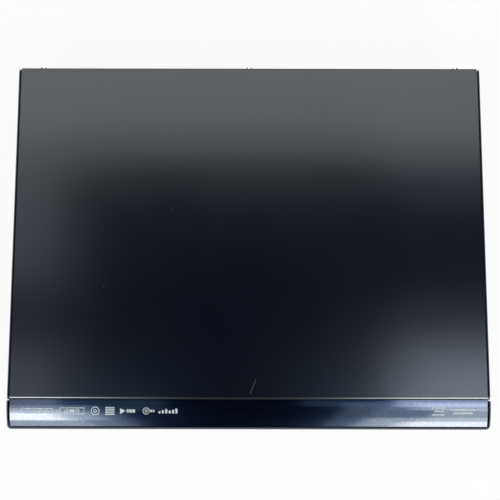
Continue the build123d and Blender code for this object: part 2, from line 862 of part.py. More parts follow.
# Main board with its chips, and the sockets that stand on its rear edge
chip_sizes = [(31.0, 31.0, 2.6), (20.0, 14.0, 1.8), (16.0, 16.0, 2.2), (24.0, 12.0, 6.0)]
chip_spacing = 10.0
with BuildPart() as main_board:
    block(
        main_board_left, main_board_right, main_board_front_y, main_board_back_y - panel_sheet,
        main_board_z, main_board_top,
    )
save(main_board, "main_board")

with BuildPart() as main_board_chips:
    chip_x = main_board_left + chip_spacing
    for chip_width, chip_depth, chip_height in chip_sizes:
        chip_y = main_board_front_y + chip_spacing + board_post_inset
        block(
            chip_x, chip_x + chip_width, chip_y, chip_y + chip_depth,
            main_board_top, main_board_top + chip_height,
        )
        chip_x += chip_width + chip_spacing
save(main_board_chips, "main_board_chips")

with BuildPart() as rear_av_sockets:
    block(
        jack_block_x - jack_block_width / 2, jack_block_x + jack_block_width / 2,
        rear_panel_y - jack_block_depth, rear_panel_y, main_board_top, main_board_top + jack_block_height,
    )
    for x, z in jack_places:
        bar_y(x, rear_panel_y - jack_lip, socket_tip_y, z, jack_radius)
        bar_y(x, rear_panel_y - jack_depth, socket_tip_y + cut_over, z, jack_bore, mode=Mode.SUBTRACT)
save(rear_av_sockets, "rear_av_sockets")

with BuildPart() as tuner_module:
    block(
        tuner_x - tuner_width / 2, tuner_x + tuner_width / 2, rear_panel_y - tuner_depth, rear_panel_y,
        main_board_top, main_board_top + tuner_height,
    )
    # A nut holds each aerial socket against the outside of the panel
    with BuildSketch(Plane.XZ.offset(-panel_out_y)) as nuts:
        with Locations(*[(x, aerial_z) for x in aerial_places]):
            RegularPolygon(aerial_nut_across / 2, aerial_nut_sides, major_radius=False)
    extrude(amount=-aerial_nut_thick)
    for x in aerial_places:
        bar_y(x, rear_panel_y - jack_lip, socket_tip_y, aerial_z, aerial_radius)
        bar_y(x, rear_panel_y - jack_depth, socket_tip_y + cut_over, aerial_z, aerial_bore,
              mode=Mode.SUBTRACT)
save(tuner_module, "tuner_module")

hdmi_wall = 0.8
hdmi_tongue_share = 0.72
hdmi_tongue_set_back = 1.6
with BuildPart() as hdmi_socket:
    hdmi_back_y = rear_y - cover_sheet + hdmi_wall
    block(
        hdmi_x - hdmi_width / 2, hdmi_x + hdmi_width / 2, hdmi_back_y - hdmi_depth, hdmi_back_y,
        hdmi_z - hdmi_height / 2, hdmi_z + hdmi_height / 2,
    )
    block(
        hdmi_x - hdmi_width / 2 + hdmi_wall, hdmi_x + hdmi_width / 2 - hdmi_wall,
        hdmi_back_y - hdmi_depth + hdmi_wall, hdmi_back_y + cut_over,
        hdmi_z - hdmi_height / 2 + hdmi_wall, hdmi_z + hdmi_height / 2 - hdmi_wall, mode=Mode.SUBTRACT,
    )
    tongue_half = hdmi_width * hdmi_tongue_share / 2
    block(
        hdmi_x - tongue_half, hdmi_x + tongue_half, hdmi_back_y - hdmi_depth + hdmi_wall / 2,
        hdmi_back_y - hdmi_tongue_set_back, hdmi_z - hdmi_wall, hdmi_z + hdmi_wall,
    )
save(hdmi_socket, "hdmi_socket")

lan_wall = 1.6
lan_contact_drop = 3.0
with BuildPart() as lan_socket:
    lan_back_y = rear_y - cover_sheet + hdmi_wall
    block(
        lan_x - lan_width / 2, lan_x + lan_width / 2, lan_back_y - lan_depth, lan_back_y,
        lan_z - lan_height / 2, lan_z + lan_height / 2,
    )
    block(
        lan_x - lan_width / 2 + lan_wall, lan_x + lan_width / 2 - lan_wall, lan_back_y - lan_depth + lan_wall,
        lan_back_y + cut_over, lan_z - lan_height / 2 + lan_wall,
        lan_z + lan_height / 2 - lan_wall - lan_contact_drop / 2, mode=Mode.SUBTRACT,
    )
    block(
        lan_x - lan_wall - lan_contact_drop / 2, lan_x + lan_wall + lan_contact_drop / 2,
        lan_back_y - lan_depth + lan_wall, lan_back_y + cut_over, lan_z,
        lan_z + lan_height / 2 - lan_wall / 2, mode=Mode.SUBTRACT,
    )
save(lan_socket, "lan_socket")

# Power board, its tall parts and the mains inlet
transformer_width = 30.0
transformer_height = 30.0
transformer_depth_share = 0.51
capacitor_radius = 9.0
capacitor_height = 34.0
choke_radius = 7.0
choke_height = 17.0
sink_width = 22.0
sink_depth = 12.0
sink_height = 30.0
sink_fin_pitch = 5.5
sink_fin_gap = 3.0
sink_root = 4.0
part_spacing = 5.0
with BuildPart() as power_board:
    block(
        power_board_left, power_board_right, power_board_front_y, power_board_back_y,
        main_board_z, main_board_top,
    )
save(power_board, "power_board")

with BuildPart() as power_parts:
    part_y = (power_board_front_y + power_board_back_y) / 2
    capacitor_x = inlet_x + inlet_width / 2 + part_spacing / 2 + capacitor_radius
    post(capacitor_x, part_y, main_board_top, main_board_top + capacitor_height, capacitor_radius)
    transformer_x = capacitor_x + capacitor_radius + part_spacing / 2
    transformer_depth = transformer_depth_share * (power_board_back_y - power_board_front_y)
    block(
        transformer_x, transformer_x + transformer_width, part_y - transformer_depth / 2,
        part_y + transformer_depth / 2, main_board_top, main_board_top + transformer_height,
    )
    sink_x = transformer_x + transformer_width + part_spacing
    block(
        sink_x, sink_x + sink_width, part_y - sink_depth / 2, part_y + sink_depth / 2,
        main_board_top, main_board_top + sink_height,
    )
    choke_x = sink_x + sink_width + part_spacing + choke_radius
    post(choke_x, part_y, main_board_top, main_board_top + choke_height, choke_radius)
    fin_count = int((sink_width - sink_root) // sink_fin_pitch)
    for fin in range(fin_count):
        fin_x = sink_x + sink_root + fin * sink_fin_pitch
        block(
            fin_x, fin_x + sink_fin_gap,
            part_y - sink_depth / 2 - cut_over, part_y + sink_depth / 2 - sink_root,
            main_board_top + sink_root, main_board_top + sink_height + cut_over, mode=Mode.SUBTRACT,
        )
save(power_parts, "power_parts")

inlet_wall = 3.0
inlet_pin_radius = 1.2
inlet_pin_pitch = 8.6
inlet_cup = 12.0
inlet_oval = 9.0
with BuildPart() as ac_inlet:
    inlet_face_y = rear_y - cover_sheet + hdmi_wall
    block(
        inlet_x - inlet_width / 2, inlet_x + inlet_width / 2, inlet_face_y - inlet_depth, inlet_face_y,
        inlet_z - inlet_height / 2, inlet_z + inlet_height / 2,
    )
    with BuildSketch(Plane.XZ.offset(-inlet_face_y)) as inlet_mouth:
        with Locations((inlet_x, inlet_z)):
            SlotCenterToCenter(inlet_pin_pitch, inlet_oval)
    extrude(amount=inlet_cup, mode=Mode.SUBTRACT)
    for side in (-1, 1):
        bar_y(
            inlet_x + side * inlet_pin_pitch / 2, inlet_face_y - inlet_cup - inlet_wall / 2,
            inlet_face_y - inlet_wall, inlet_z, inlet_pin_radius,
        )
save(ac_inlet, "ac_inlet")

# Cooling fan on the rear panel
fan_wall = 1.6
fan_hub_radius = 12.0
fan_hub_back = 2.5
fan_spoke = 4.0
fan_axle_radius = 1.5
fan_hub_depth = 9.0
blade_count = 7
blade_thick = 1.4
blade_pitch_angle = 38.0
blade_reach = 21.0
blade_length = 10.0
with BuildPart() as fan_frame:
    fan_front_y = rear_panel_y - fan_depth
    block(
        fan_x - fan_size / 2, fan_x + fan_size / 2, fan_front_y, rear_panel_y,
        fan_z - fan_size / 2, fan_z + fan_size / 2,
    )
    bar_y(fan_x, fan_front_y - cut_over, rear_panel_y + cut_over, fan_z, fan_bore, mode=Mode.SUBTRACT)
    bar_y(fan_x, rear_panel_y - fan_hub_back, rear_panel_y, fan_z, fan_hub_radius)
    block(
        fan_x - fan_bore - fan_wall / 2, fan_x + fan_bore + fan_wall / 2, rear_panel_y - fan_hub_back,
        rear_panel_y, fan_z - fan_spoke / 2, fan_z + fan_spoke / 2,
    )
    block(
        fan_x - fan_spoke / 2, fan_x + fan_spoke / 2, rear_panel_y - fan_hub_back, rear_panel_y,
        fan_z - fan_bore - fan_wall / 2, fan_z + fan_bore + fan_wall / 2,
    )
    bar_y(
        fan_x, rear_panel_y - fan_hub_back - fan_hub_depth / 2, rear_panel_y - fan_hub_back / 2, fan_z,
        fan_axle_radius,
    )
save(fan_frame, "fan_frame")

with BuildPart() as fan_rotor:
    hub_back_y = rear_panel_y - fan_hub_back - seat_gap
    bar_y(fan_x, hub_back_y - fan_hub_depth, hub_back_y, fan_z, fan_hub_radius)
    blade_y = hub_back_y - fan_hub_depth / 2
    with Locations(Location((fan_x, blade_y, fan_z), (90, 0, 0))):
        with PolarLocations(0, blade_count):
            with Locations(
                Location(((fan_hub_radius + blade_reach) / 2 - blade_thick, 0, 0), (blade_pitch_angle, 0, 0))
            ):
                Box(blade_reach - fan_hub_radius + blade_thick, blade_length, blade_thick)
    bar_y(fan_x, hub_back_y - fan_hub_depth / 2 - seat_gap, hub_back_y + cut_over, fan_z,
          fan_axle_radius + pin_gap, mode=Mode.SUBTRACT)
save(fan_rotor, "fan_rotor")

# Bracket that carries the disc drive on top and the hard drive under it
drive_depth = 176.0
cable_slot_depth = 5.0
hdd_width = 100.0
hdd_depth = 69.9
hdd_height = 9.5
hdd_set_back = 40.0
hdd_round = 3.0
hdd_lid_inset = 5.0
hdd_lid_thick = 1.2
drive_front_y = bracket_front_y
drive_back_y = drive_front_y + drive_depth
hdd_front_y = bracket_front_y + hdd_set_back
cable_width = 24.0
cable_thick = 0.5
cable_lift = 5.0
cable_out = 2.7
with BuildPart() as drive_bracket:
    block(bracket_left, bracket_right, bracket_front_y, bracket_back_y, bracket_z, bracket_top)
    for leg_x in (bracket_left, bracket_right - bracket_sheet):
        block(leg_x, leg_x + bracket_sheet, bracket_front_y, bracket_back_y, base_top, bracket_top)
    block(
        drive_x - cable_width / 2 - cable_out, drive_x + cable_width / 2 + cable_out,
        drive_back_y + seat_gap, drive_back_y + cable_slot_depth,
        bracket_z - cut_over, bracket_top + cut_over,
        mode=Mode.SUBTRACT,
    )
save(drive_bracket, "drive_bracket")

with BuildPart() as hard_drive:
    block(
        drive_x - hdd_width / 2, drive_x + hdd_width / 2, hdd_front_y, hdd_front_y + hdd_depth,
        bracket_z - hdd_height, bracket_z,
    )
    fillet(hard_drive.edges().filter_by(Axis.Z), hdd_round)
    block(
        drive_x - hdd_width / 2 + hdd_lid_inset, drive_x + hdd_width / 2 - hdd_lid_inset,
        hdd_front_y + hdd_lid_inset, hdd_front_y + hdd_depth - hdd_lid_inset,
        bracket_z - hdd_height - hdd_lid_thick, bracket_z - hdd_height + hdd_lid_thick,
    )
save(hard_drive, "hard_drive")

with BuildPart() as drive_flat_cable:
    cable_y = drive_back_y + cable_out
    cable_z = bracket_top + cable_lift
    block(
        drive_x - cable_width / 2, drive_x + cable_width / 2, drive_back_y, cable_y,
        cable_z - cable_thick, cable_z,
    )
    block(
        drive_x - cable_width / 2, drive_x + cable_width / 2, cable_y - cable_thick, cable_y,
        main_board_top, cable_z,
    )
save(drive_flat_cable, "drive_flat_cable")

# Disc drive: heights are stacked up from the bracket
drive_floor = 1.5
drive_wall = 2.0
drive_height = 38.0
lid_sheet = 1.6
tray_half = 65.0
tray_lift = 21.0
tray_thick = 7.0
tray_front_thick = 3.0
tray_travel = 142.0
tray_hold = 48.0
tray_rail = 8.0
disc_radius = 60.5
disc_depth = 2.5
small_disc_radius = 40.5
small_disc_depth = 1.5
disc_margin = 5.0
tray_slot_half = 22.0
spindle_hole = 20.0
ledge_thick = 2.0
ledge_lap = 6.0
guide_height = 2.3
tab_depth = 12.0
tab_thick = 1.7
drive_top = bracket_top + drive_height
lid_z = drive_top - lid_sheet
tray_z = bracket_top + tray_lift
tray_top = tray_z + tray_thick
tray_front_y = front_y + tray_front_thick + flap_set_back
tray_back_y = tray_front_y + tray_travel + tray_hold
disc_y = tray_front_y + disc_margin + disc_radius
tray_plate_back_y = disc_y + disc_radius + disc_margin

# Rack and pinion: straight-sided teeth of one module with backlash
gear_module = 1.0
gear_teeth = 20
gear_tooth_share = 0.40
gear_tip_share = 0.22
addendum_share = 0.8
dedendum_share = 1.1
gear_thick = 4.0
gear_axle_radius = 2.0
gear_set_back = 4.0
gear_collar_radius = 4.0
rack_out = 56.0
rack_root_x = drive_x - rack_out
rack_body = 3.5
rack_drop = 4.4
gear_pitch_radius = gear_module * gear_teeth / 2
addendum = addendum_share * gear_module
dedendum = dedendum_share * gear_module
rack_pitch = math.pi * gear_module
rack_pitch_x = rack_root_x + rack_body + dedendum
gear_x = rack_pitch_x + gear_pitch_radius
gear_y = drive_front_y + drive_wall + gear_pitch_radius + gear_set_back
gear_z = tray_z - gear_thick - seat_gap

# Traverse: a frame that tips up to lift the disc off the tray
traverse_half = 31.0
traverse_lift = 5.0
traverse_sheet = 2.5
traverse_pin_radius = 1.8
traverse_pin_reach = 3.6
traverse_ear = 4.0
traverse_ear_depth = 9.0
traverse_front_margin = 14.0
traverse_tail = 6.0
motor_radius = 12.0
motor_height = 8.5
table_radius = 14.0
table_thick = 2.0
cone_radius = 7.3
cone_height = 2.2
rod_radius = 1.5
rod_half_pitch = 26.0
rod_lift = 2.6
rod_post = 4.0
rod_front = 16.5
rod_spare = 19.5
sled_half = 30.0
sled_length = 12.0
sled_height = 4.4
sled_start = 24.5
sled_travel = 34.0
lens_radius = 4.0
lens_height = 4.0
traverse_z = bracket_top + traverse_lift
traverse_top = traverse_z + traverse_sheet
hinge_z = traverse_z + traverse_sheet / 2
rod_z = traverse_top + rod_lift
rod_front_y = disc_y + rod_front
rod_back_y = disc_y + sled_start + sled_travel + rod_spare
hinge_y = rod_back_y + rod_post + traverse_tail

with BuildPart() as drive_chassis:
    drive_left = drive_x - drive_half
    drive_right = drive_x + drive_half
    floor_top = bracket_top + drive_floor
    block(drive_left, drive_right, drive_front_y, drive_back_y, bracket_top, floor_top)
    for wall_x in (drive_left, drive_right - drive_wall):
        block(wall_x, wall_x + drive_wall, drive_front_y, drive_back_y, bracket_top, lid_z)
    block(drive_left, drive_right, drive_back_y - drive_wall, drive_back_y, bracket_top, lid_z)
    block(drive_left, drive_right, drive_front_y, drive_front_y + drive_wall, bracket_top, gear_z - seat_gap)
    ledge_top = tray_z - seat_gap
    for side in (-1, 1):
        wall_in = drive_x + side * (drive_half - drive_wall / 2)
        ledge_in = drive_x + side * (tray_half - ledge_lap)
        guide_in = drive_x + side * (tray_half + seat_gap)
        block(
            min(wall_in, ledge_in), max(wall_in, ledge_in), drive_front_y, drive_back_y - drive_wall / 2,
            ledge_top - ledge_thick, ledge_top,
        )
        block(
            min(wall_in, guide_in), max(wall_in, guide_in), drive_front_y, drive_back_y - drive_wall / 2,
            ledge_top - ledge_thick / 2, ledge_top + guide_height,
        )
        tab_in = drive_x + side * (tray_half - ledge_lap / 2)
        block(
            min(wall_in, tab_in), max(wall_in, tab_in), drive_front_y, drive_front_y + tab_depth,
            tray_top + seat_gap, tray_top + seat_gap + tab_thick,
        )
        ear_in = drive_x + side * (traverse_half + seat_gap)
        ear_out = drive_x + side * (traverse_half + seat_gap + traverse_ear)
        block(
            min(ear_in, ear_out), max(ear_in, ear_out), hinge_y - traverse_ear_depth / 2,
            hinge_y + traverse_ear_depth / 2, bracket_top, hinge_z + traverse_ear,
        )
    bar_x(
        drive_x - traverse_half - traverse_pin_reach - seat_gap,
        drive_x + traverse_half + traverse_pin_reach + seat_gap,
        hinge_y, hinge_z, traverse_pin_radius + pin_gap, mode=Mode.SUBTRACT,
    )
    post(gear_x, gear_y, bracket_top, gear_z - seat_gap, gear_collar_radius)
    post(gear_x, gear_y, gear_z - gear_axle_radius, gear_z + gear_thick - seat_gap, gear_axle_radius)
save(drive_chassis, "drive_chassis")

puck_radius = 14.5
puck_flange = 3.0
puck_flange_thick = 1.6
puck_drop = 6.4
with BuildPart() as drive_lid:
    block(drive_left, drive_right, drive_front_y, drive_back_y, lid_z, drive_top)
    post(drive_x, disc_y, lid_z - cut_over, drive_top + cut_over, puck_radius + seat_gap, mode=Mode.SUBTRACT)
save(drive_lid, "drive_lid")

with BuildPart() as clamp_puck:
    post(drive_x, disc_y, drive_top, drive_top + puck_flange_thick, puck_radius + puck_flange)
    post(drive_x, disc_y, lid_z - puck_drop, drive_top + puck_flange_thick / 2, puck_radius)
save(clamp_puck, "clamp_puck")

with BuildPart() as disc_tray:
    block(drive_x - tray_half, drive_x + tray_half, tray_front_y, tray_plate_back_y, tray_z, tray_top)
    for rail_x in (drive_x - tray_half, drive_x + tray_half - tray_rail):
        block(rail_x, rail_x + tray_rail, tray_front_y, tray_back_y, tray_z, tray_top)
    post(drive_x, disc_y, tray_top - disc_depth, tray_top + cut_over, disc_radius, mode=Mode.SUBTRACT)
    post(
        drive_x, disc_y, tray_top - disc_depth - small_disc_depth, tray_top, small_disc_radius,
        mode=Mode.SUBTRACT,
    )
    post(drive_x, disc_y, tray_z - cut_over, tray_top + cut_over, spindle_hole, mode=Mode.SUBTRACT)
    block(
        drive_x - tray_slot_half, drive_x + tray_slot_half, disc_y, tray_plate_back_y + cut_over,
        tray_z - cut_over, tray_top + cut_over, mode=Mode.SUBTRACT,
    )
    # Rack under the left rail, with a tooth space opposite the gear's axis at rest
    with BuildSketch(Plane.XY.offset(tray_z - rack_drop)) as rack_outline:
        rack_front_y = gear_y - (int((gear_y - tray_front_y) / rack_pitch) - 1) * rack_pitch
        rack_back_y = tray_back_y
        with Locations((rack_root_x + rack_body / 2, (rack_front_y + rack_back_y) / 2)):
            Rectangle(rack_body, rack_back_y - rack_front_y)
        tooth_count = int((rack_back_y - rack_front_y) / rack_pitch) - 1
        root_half = rack_pitch * (gear_tooth_share + gear_tip_share) / 4
        tip_half = rack_pitch * gear_tip_share / 2
        root_x = rack_root_x + rack_body - pin_gap
        tip_x = rack_pitch_x + addendum
        for tooth in range(tooth_count):
            tooth_y = rack_front_y + (tooth + 1 / 2) * rack_pitch
            with BuildLine():
                Polyline(
                    (root_x, tooth_y - root_half),
                    (tip_x, tooth_y - tip_half),
                    (tip_x, tooth_y + tip_half),
                    (root_x, tooth_y + root_half),
                    close=True,
                )
            make_face()
    extrude(amount=rack_drop + tray_thick / 4)
save(disc_tray, "disc_tray")

with BuildPart() as tray_front:
    block(
        drive_x - tray_front_width / 2, drive_x + tray_front_width / 2, tray_front_y - tray_front_thick,
        tray_front_y, tray_front_bottom, tray_front_top,
    )
    tray_face_y = tray_front_y - tray_front_thick
    tray_face_edges = tray_front.edges().filter_by_position(
        Axis.Y, tray_face_y - pin_gap, tray_face_y + pin_gap
    )
    fillet(tray_face_edges, tray_front_thick / 4)
save(tray_front, "tray_front")

with BuildPart() as tray_gear:
    with BuildSketch(Plane.XY.offset(gear_z)) as gear_outline:
        with Locations((gear_x, gear_y)):
            Circle(gear_pitch_radius - dedendum)
        gear_root = gear_pitch_radius - dedendum - pin_gap
        gear_tip = gear_pitch_radius + addendum
        for tooth in range(gear_teeth):
            # A tooth points straight at the rack at rest, into the space between two rack teeth
            toward = math.pi + tooth * 2 * math.pi / gear_teeth
            along = Vector(math.cos(toward), math.sin(toward))
            across = Vector(-math.sin(toward), math.cos(toward))
            centre = Vector(gear_x, gear_y)
            with BuildLine():
                Polyline(
                    centre + along * gear_root - across * root_half,
                    centre + along * gear_tip - across * tip_half,
                    centre + along * gear_tip + across * tip_half,
                    centre + along * gear_root + across * root_half,
                    close=True,
                )
            make_face()
        with Locations((gear_x, gear_y)):
            Circle(gear_axle_radius + pin_gap, mode=Mode.SUBTRACT)
    extrude(amount=gear_thick)
save(tray_gear, "tray_gear")

with BuildPart() as traverse_frame:
    block(
        drive_x - traverse_half, drive_x + traverse_half, disc_y - traverse_front_margin, hinge_y,
        traverse_z, traverse_top,
    )
    bar_x(
        drive_x - traverse_half - traverse_pin_reach, drive_x + traverse_half + traverse_pin_reach,
        hinge_y, hinge_z, traverse_pin_radius,
    )
    for side in (-1, 1):
        rod_x = drive_x + side * rod_half_pitch
        for post_y in (rod_front_y - rod_post, rod_back_y):
            block(
                rod_x - rod_post / 2, rod_x + rod_post / 2, post_y, post_y + rod_post,
                traverse_top, rod_z + rod_radius + seat_gap,
            )
save(traverse_frame, "traverse_frame")

with BuildPart() as sled_rods:
    for side in (-1, 1):
        bar_y(drive_x + side * rod_half_pitch, rod_front_y, rod_back_y, rod_z, rod_radius)
save(sled_rods, "sled_rods")

with BuildPart() as laser_sled:
    sled_y = disc_y + sled_start
    sled_z = rod_z - sled_height / 2 + seat_gap
    block(
        drive_x - sled_half, drive_x + sled_half, sled_y - sled_length / 2, sled_y + sled_length / 2,
        sled_z, sled_z + sled_height,
    )
    post(drive_x, sled_y, sled_z + sled_height / 2, sled_z + sled_height + lens_height, lens_radius)
    for side in (-1, 1):
        bar_y(
            drive_x + side * rod_half_pitch, sled_y - sled_length, sled_y + sled_length, rod_z,
            rod_radius + pin_gap, mode=Mode.SUBTRACT,
        )
save(laser_sled, "laser_sled")

spindle_radius = 1.2
spindle_rise = 1.6
with BuildPart() as spindle_motor:
    post(drive_x, disc_y, traverse_top, traverse_top + motor_height, motor_radius)
    post(
        drive_x, disc_y, traverse_top + motor_height / 2, traverse_top + motor_height + spindle_rise,
        spindle_radius,
    )
save(spindle_motor, "spindle_motor")

with BuildPart() as turntable:
    table_z = traverse_top + motor_height + seat_gap
    post(drive_x, disc_y, table_z, table_z + table_thick, table_radius)
    with Locations((drive_x, disc_y, table_z + table_thick + cone_height / 2)):
        Cone(cone_radius, cone_radius - cone_height / 2, cone_height)
    post(drive_x, disc_y, table_z - seat_gap, table_z + spindle_rise, spindle_radius + pin_gap,
         mode=Mode.SUBTRACT)
save(turntable, "turntable")

# Cassette deck: heights are stacked up from the deck plate
cassette_half = 94.6
cassette_room = 26.0
holder_sheet = 1.0
holder_depth = 100.0
holder_ledge = 13.0
holder_front_gap = 1.5
holder_travel_in = 30.0
holder_travel_down = 14.0
holder_pin_radius = 1.8
holder_pin_inset = 18.0
holder_pin_z_share = 0.5
holder_window_inset = 16.0
slider_sheet = 1.5
slider_inset = 2.0
slider_foot = 6.0
slot_gap = 0.15
tongue_length = 35.0
tongue_height = 3.8
tongue_drop = 6.0
cross_bar_depth = 10.0
cross_bar_thick = 2.2
cage_sheet = 1.5
cage_depth = 155.0
cage_headroom = 3.4
cage_bridge = 14.5
reel_pitch = 92.0
reel_radius = 21.0
reel_thick = 3.3
reel_hub_radius = 8.0
reel_top_gap = 2.0
reel_fin_width = 6.0
reel_fin_drop = 3.0
reel_fin_thick = 2.4
reel_spindle_radius = 2.0
reel_cap = 2.0
reel_set_back = 4.0
drum_radius = 31.0
drum_behind_holder = 8.0
drum_lift = 5.0
drum_tilt = 5.5
drum_lower_height = 16.0
drum_upper_height = 14.0
drum_shaft_radius = 2.5
drum_pedestal = 20.0
capstan_out = 48.0
capstan_ahead = 17.0
capstan_radius = 1.5
capstan_collar = 4.0
capstan_height = 28.0
capstan_motor_radius = 20.0
capstan_motor_height = 13.0
capstan_hole = 3.0
pinch_pivot_out = 26.0
pinch_pivot_ahead = 14.0
pinch_arm_length = 21.5
pinch_swing = 25.0
pinch_roller_radius = 6.0
pinch_roller_height = 14.0
pinch_roller_lift = 8.4
pinch_hub_radius = 4.5
pinch_arm_thick = 3.0
pinch_arm_lift = 3.4
pinch_axle_radius = 1.5
pinch_pivot_radius = 2.0
guide_start_out = 30.0
guide_end_out = 44.0
guide_start_ahead = 35.0
guide_end_behind = 18.0
guide_block = 10.0
guide_block_height = 3.0
guide_post_radius = 3.0
guide_height = 24.0
guide_flange = 1.4
guide_peg_radius = 1.8

holder_front_y = deck_front_y + holder_front_gap
holder_back_y = holder_front_y + holder_depth
holder_floor_top = flap_bottom + holder_sheet
holder_floor = holder_floor_top - holder_sheet
holder_roof = holder_floor_top + cassette_room
holder_top = holder_roof + holder_sheet
holder_out = cassette_half + holder_sheet
holder_pin_z = holder_floor + (holder_top - holder_floor) * holder_pin_z_share
holder_pin_ys = [holder_front_y + holder_pin_inset, holder_back_y - holder_pin_inset]
slider_in = holder_out + seat_gap
slider_out = slider_in + slider_sheet
slider_top = holder_top + seat_gap + cross_bar_thick
slider_bottom = holder_pin_z - holder_travel_down - holder_pin_radius - slider_foot
cage_in = slider_out + seat_gap
cage_out = cage_in + cage_sheet
cage_top = slider_top + cage_headroom
cage_back_y = deck_front_y + cage_depth
tongue_y = (holder_front_y + holder_back_y) / 2
tongue_z = slider_top - tongue_drop
reel_y = (holder_front_y + holder_back_y) / 2 + holder_travel_in - reel_set_back
reel_hub_top = holder_floor - reel_top_gap
drum_y = holder_back_y + holder_travel_in + drum_behind_holder + drum_radius
capstan_x = deck_x + capstan_out
capstan_y = drum_y - capstan_ahead
pinch_x = capstan_x + pinch_pivot_out
pinch_y = capstan_y - pinch_pivot_ahead
pinch_closed = math.degrees(math.atan2(pinch_pivot_ahead, -pinch_pivot_out))
pinch_rest = math.radians(pinch_closed - pinch_swing)
roller_x = pinch_x + pinch_arm_length * math.cos(pinch_rest)
roller_y = pinch_y + pinch_arm_length * math.sin(pinch_rest)
guide_start_y = drum_y - guide_start_ahead
guide_end_y = drum_y + guide_end_behind
guide_run_out = guide_end_out - guide_start_out
guide_run_back = guide_end_y - guide_start_y
guide_travel = math.hypot(guide_run_out, guide_run_back)
guide_sides = {"supply_guide": -1, "takeup_guide": 1}

with BuildPart() as deck_base:
    block(deck_x - deck_half, deck_x + deck_half, deck_front_y, deck_back_y, deck_z, deck_top)
    for side in (-1, 1):
        reel_x = deck_x + side * reel_pitch / 2
        post(reel_x, reel_y, deck_z, reel_hub_top - reel_cap - seat_gap, reel_spindle_radius)
    post(pinch_x, pinch_y, deck_z, deck_top + pinch_arm_lift + pinch_arm_thick, pinch_pivot_radius)
    post(capstan_x, capstan_y, deck_z - cut_over, deck_top + cut_over, capstan_hole, mode=Mode.SUBTRACT)
    with BuildSketch(Plane.XY.offset(deck_z)) as guide_slots:
        for side in guide_sides.values():
            slot_x = deck_x + side * (guide_start_out + guide_end_out) / 2
            slot_turn = math.degrees(math.atan2(guide_run_back, side * guide_run_out))
            with Locations(Location((slot_x, (guide_start_y + guide_end_y) / 2, 0), (0, 0, slot_turn))):
                SlotCenterToCenter(guide_travel, 2 * (guide_peg_radius + seat_gap))
    extrude(amount=cut_over, both=True, mode=Mode.SUBTRACT)
save(deck_base, "deck_base")

with BuildPart() as cassette_cage:
    for side in (-1, 1):
        plate_in = deck_x + side * cage_in
        plate_out = deck_x + side * cage_out
        block(
            min(plate_in, plate_out), max(plate_in, plate_out), deck_front_y, cage_back_y, deck_top, cage_top,
        )
    block(
        deck_x - cage_out, deck_x + cage_out, cage_back_y - cage_bridge, cage_back_y,
        cage_top - cage_sheet, cage_top,
    )
    block(
        deck_x - cage_out - cut_over, deck_x + cage_out + cut_over, tongue_y - tongue_length / 2 - seat_gap,
        tongue_y + tongue_length / 2 + holder_travel_in + seat_gap, tongue_z - tongue_height / 2 - seat_gap,
        tongue_z + tongue_height / 2 + seat_gap, mode=Mode.SUBTRACT,
    )
save(cassette_cage, "cassette_cage")

with BuildPart() as cassette_carriage:
    for side in (-1, 1):
        plate_in = deck_x + side * slider_in
        plate_out = deck_x + side * slider_out
        block(
            min(plate_in, plate_out), max(plate_in, plate_out), holder_front_y + slider_inset,
            holder_back_y - slider_inset, slider_bottom, slider_top,
        )
        tongue_out = deck_x + side * (cage_out + seat_gap)
        block(
            min(plate_in, tongue_out), max(plate_in, tongue_out), tongue_y - tongue_length / 2,
            tongue_y + tongue_length / 2, tongue_z - tongue_height / 2, tongue_z + tongue_height / 2,
        )
        for pin_y in holder_pin_ys:
            block(
                min(plate_in, plate_out) - seat_gap, max(plate_in, plate_out) + seat_gap,
                pin_y - holder_pin_radius - slot_gap, pin_y + holder_pin_radius + slot_gap,
                holder_pin_z - holder_travel_down - holder_pin_radius - slot_gap,
                holder_pin_z + holder_pin_radius + slot_gap, mode=Mode.SUBTRACT,
            )
    block(
        deck_x - slider_out, deck_x + slider_out, holder_back_y - holder_pin_inset / 2 - cross_bar_depth,
        holder_back_y - holder_pin_inset / 2, slider_top - cross_bar_thick, slider_top,
    )
save(cassette_carriage, "cassette_carriage")

with BuildPart() as cassette_holder:
    block(deck_x - holder_out, deck_x + holder_out, holder_front_y, holder_back_y, holder_roof, holder_top)
    block(
        deck_x - holder_out + holder_window_inset, deck_x + holder_out - holder_window_inset,
        holder_front_y + holder_window_inset, holder_back_y - holder_window_inset,
        holder_roof - cut_over, holder_top + cut_over, mode=Mode.SUBTRACT,
    )
    for side in (-1, 1):
        wall_in = deck_x + side * cassette_half
        wall_out = deck_x + side * holder_out
        ledge_in = deck_x + side * (holder_out - holder_ledge)
        block(
            min(wall_in, wall_out), max(wall_in, wall_out), holder_front_y, holder_back_y,
            holder_floor, holder_top,
        )
        block(
            min(ledge_in, wall_out), max(ledge_in, wall_out), holder_front_y, holder_back_y,
            holder_floor, holder_floor_top,
        )
        pin_out = deck_x + side * (slider_out - slot_gap)
        for pin_y in holder_pin_ys:
            bar_x(min(wall_in, pin_out), max(wall_in, pin_out), pin_y, holder_pin_z, holder_pin_radius)
save(cassette_holder, "cassette_holder")

for reel_name, side in (("supply_reel", -1), ("takeup_reel", 1)):
    with BuildPart() as reel:
        reel_x = deck_x + side * reel_pitch / 2
        reel_z = deck_top + seat_gap
        post(reel_x, reel_y, reel_z, reel_z + reel_thick, reel_radius)
        post(reel_x, reel_y, reel_z, reel_hub_top, reel_hub_radius)
        with Locations((reel_x, reel_y, (reel_z + reel_hub_top) / 2)):
            with PolarLocations(reel_hub_radius, 3):
                Box(reel_fin_width, reel_fin_thick, reel_hub_top - reel_z - reel_fin_drop)
        post(
            reel_x, reel_y, reel_z - cut_over, reel_hub_top - reel_cap,
            reel_spindle_radius + pin_gap, mode=Mode.SUBTRACT,
        )
    save(reel, reel_name)

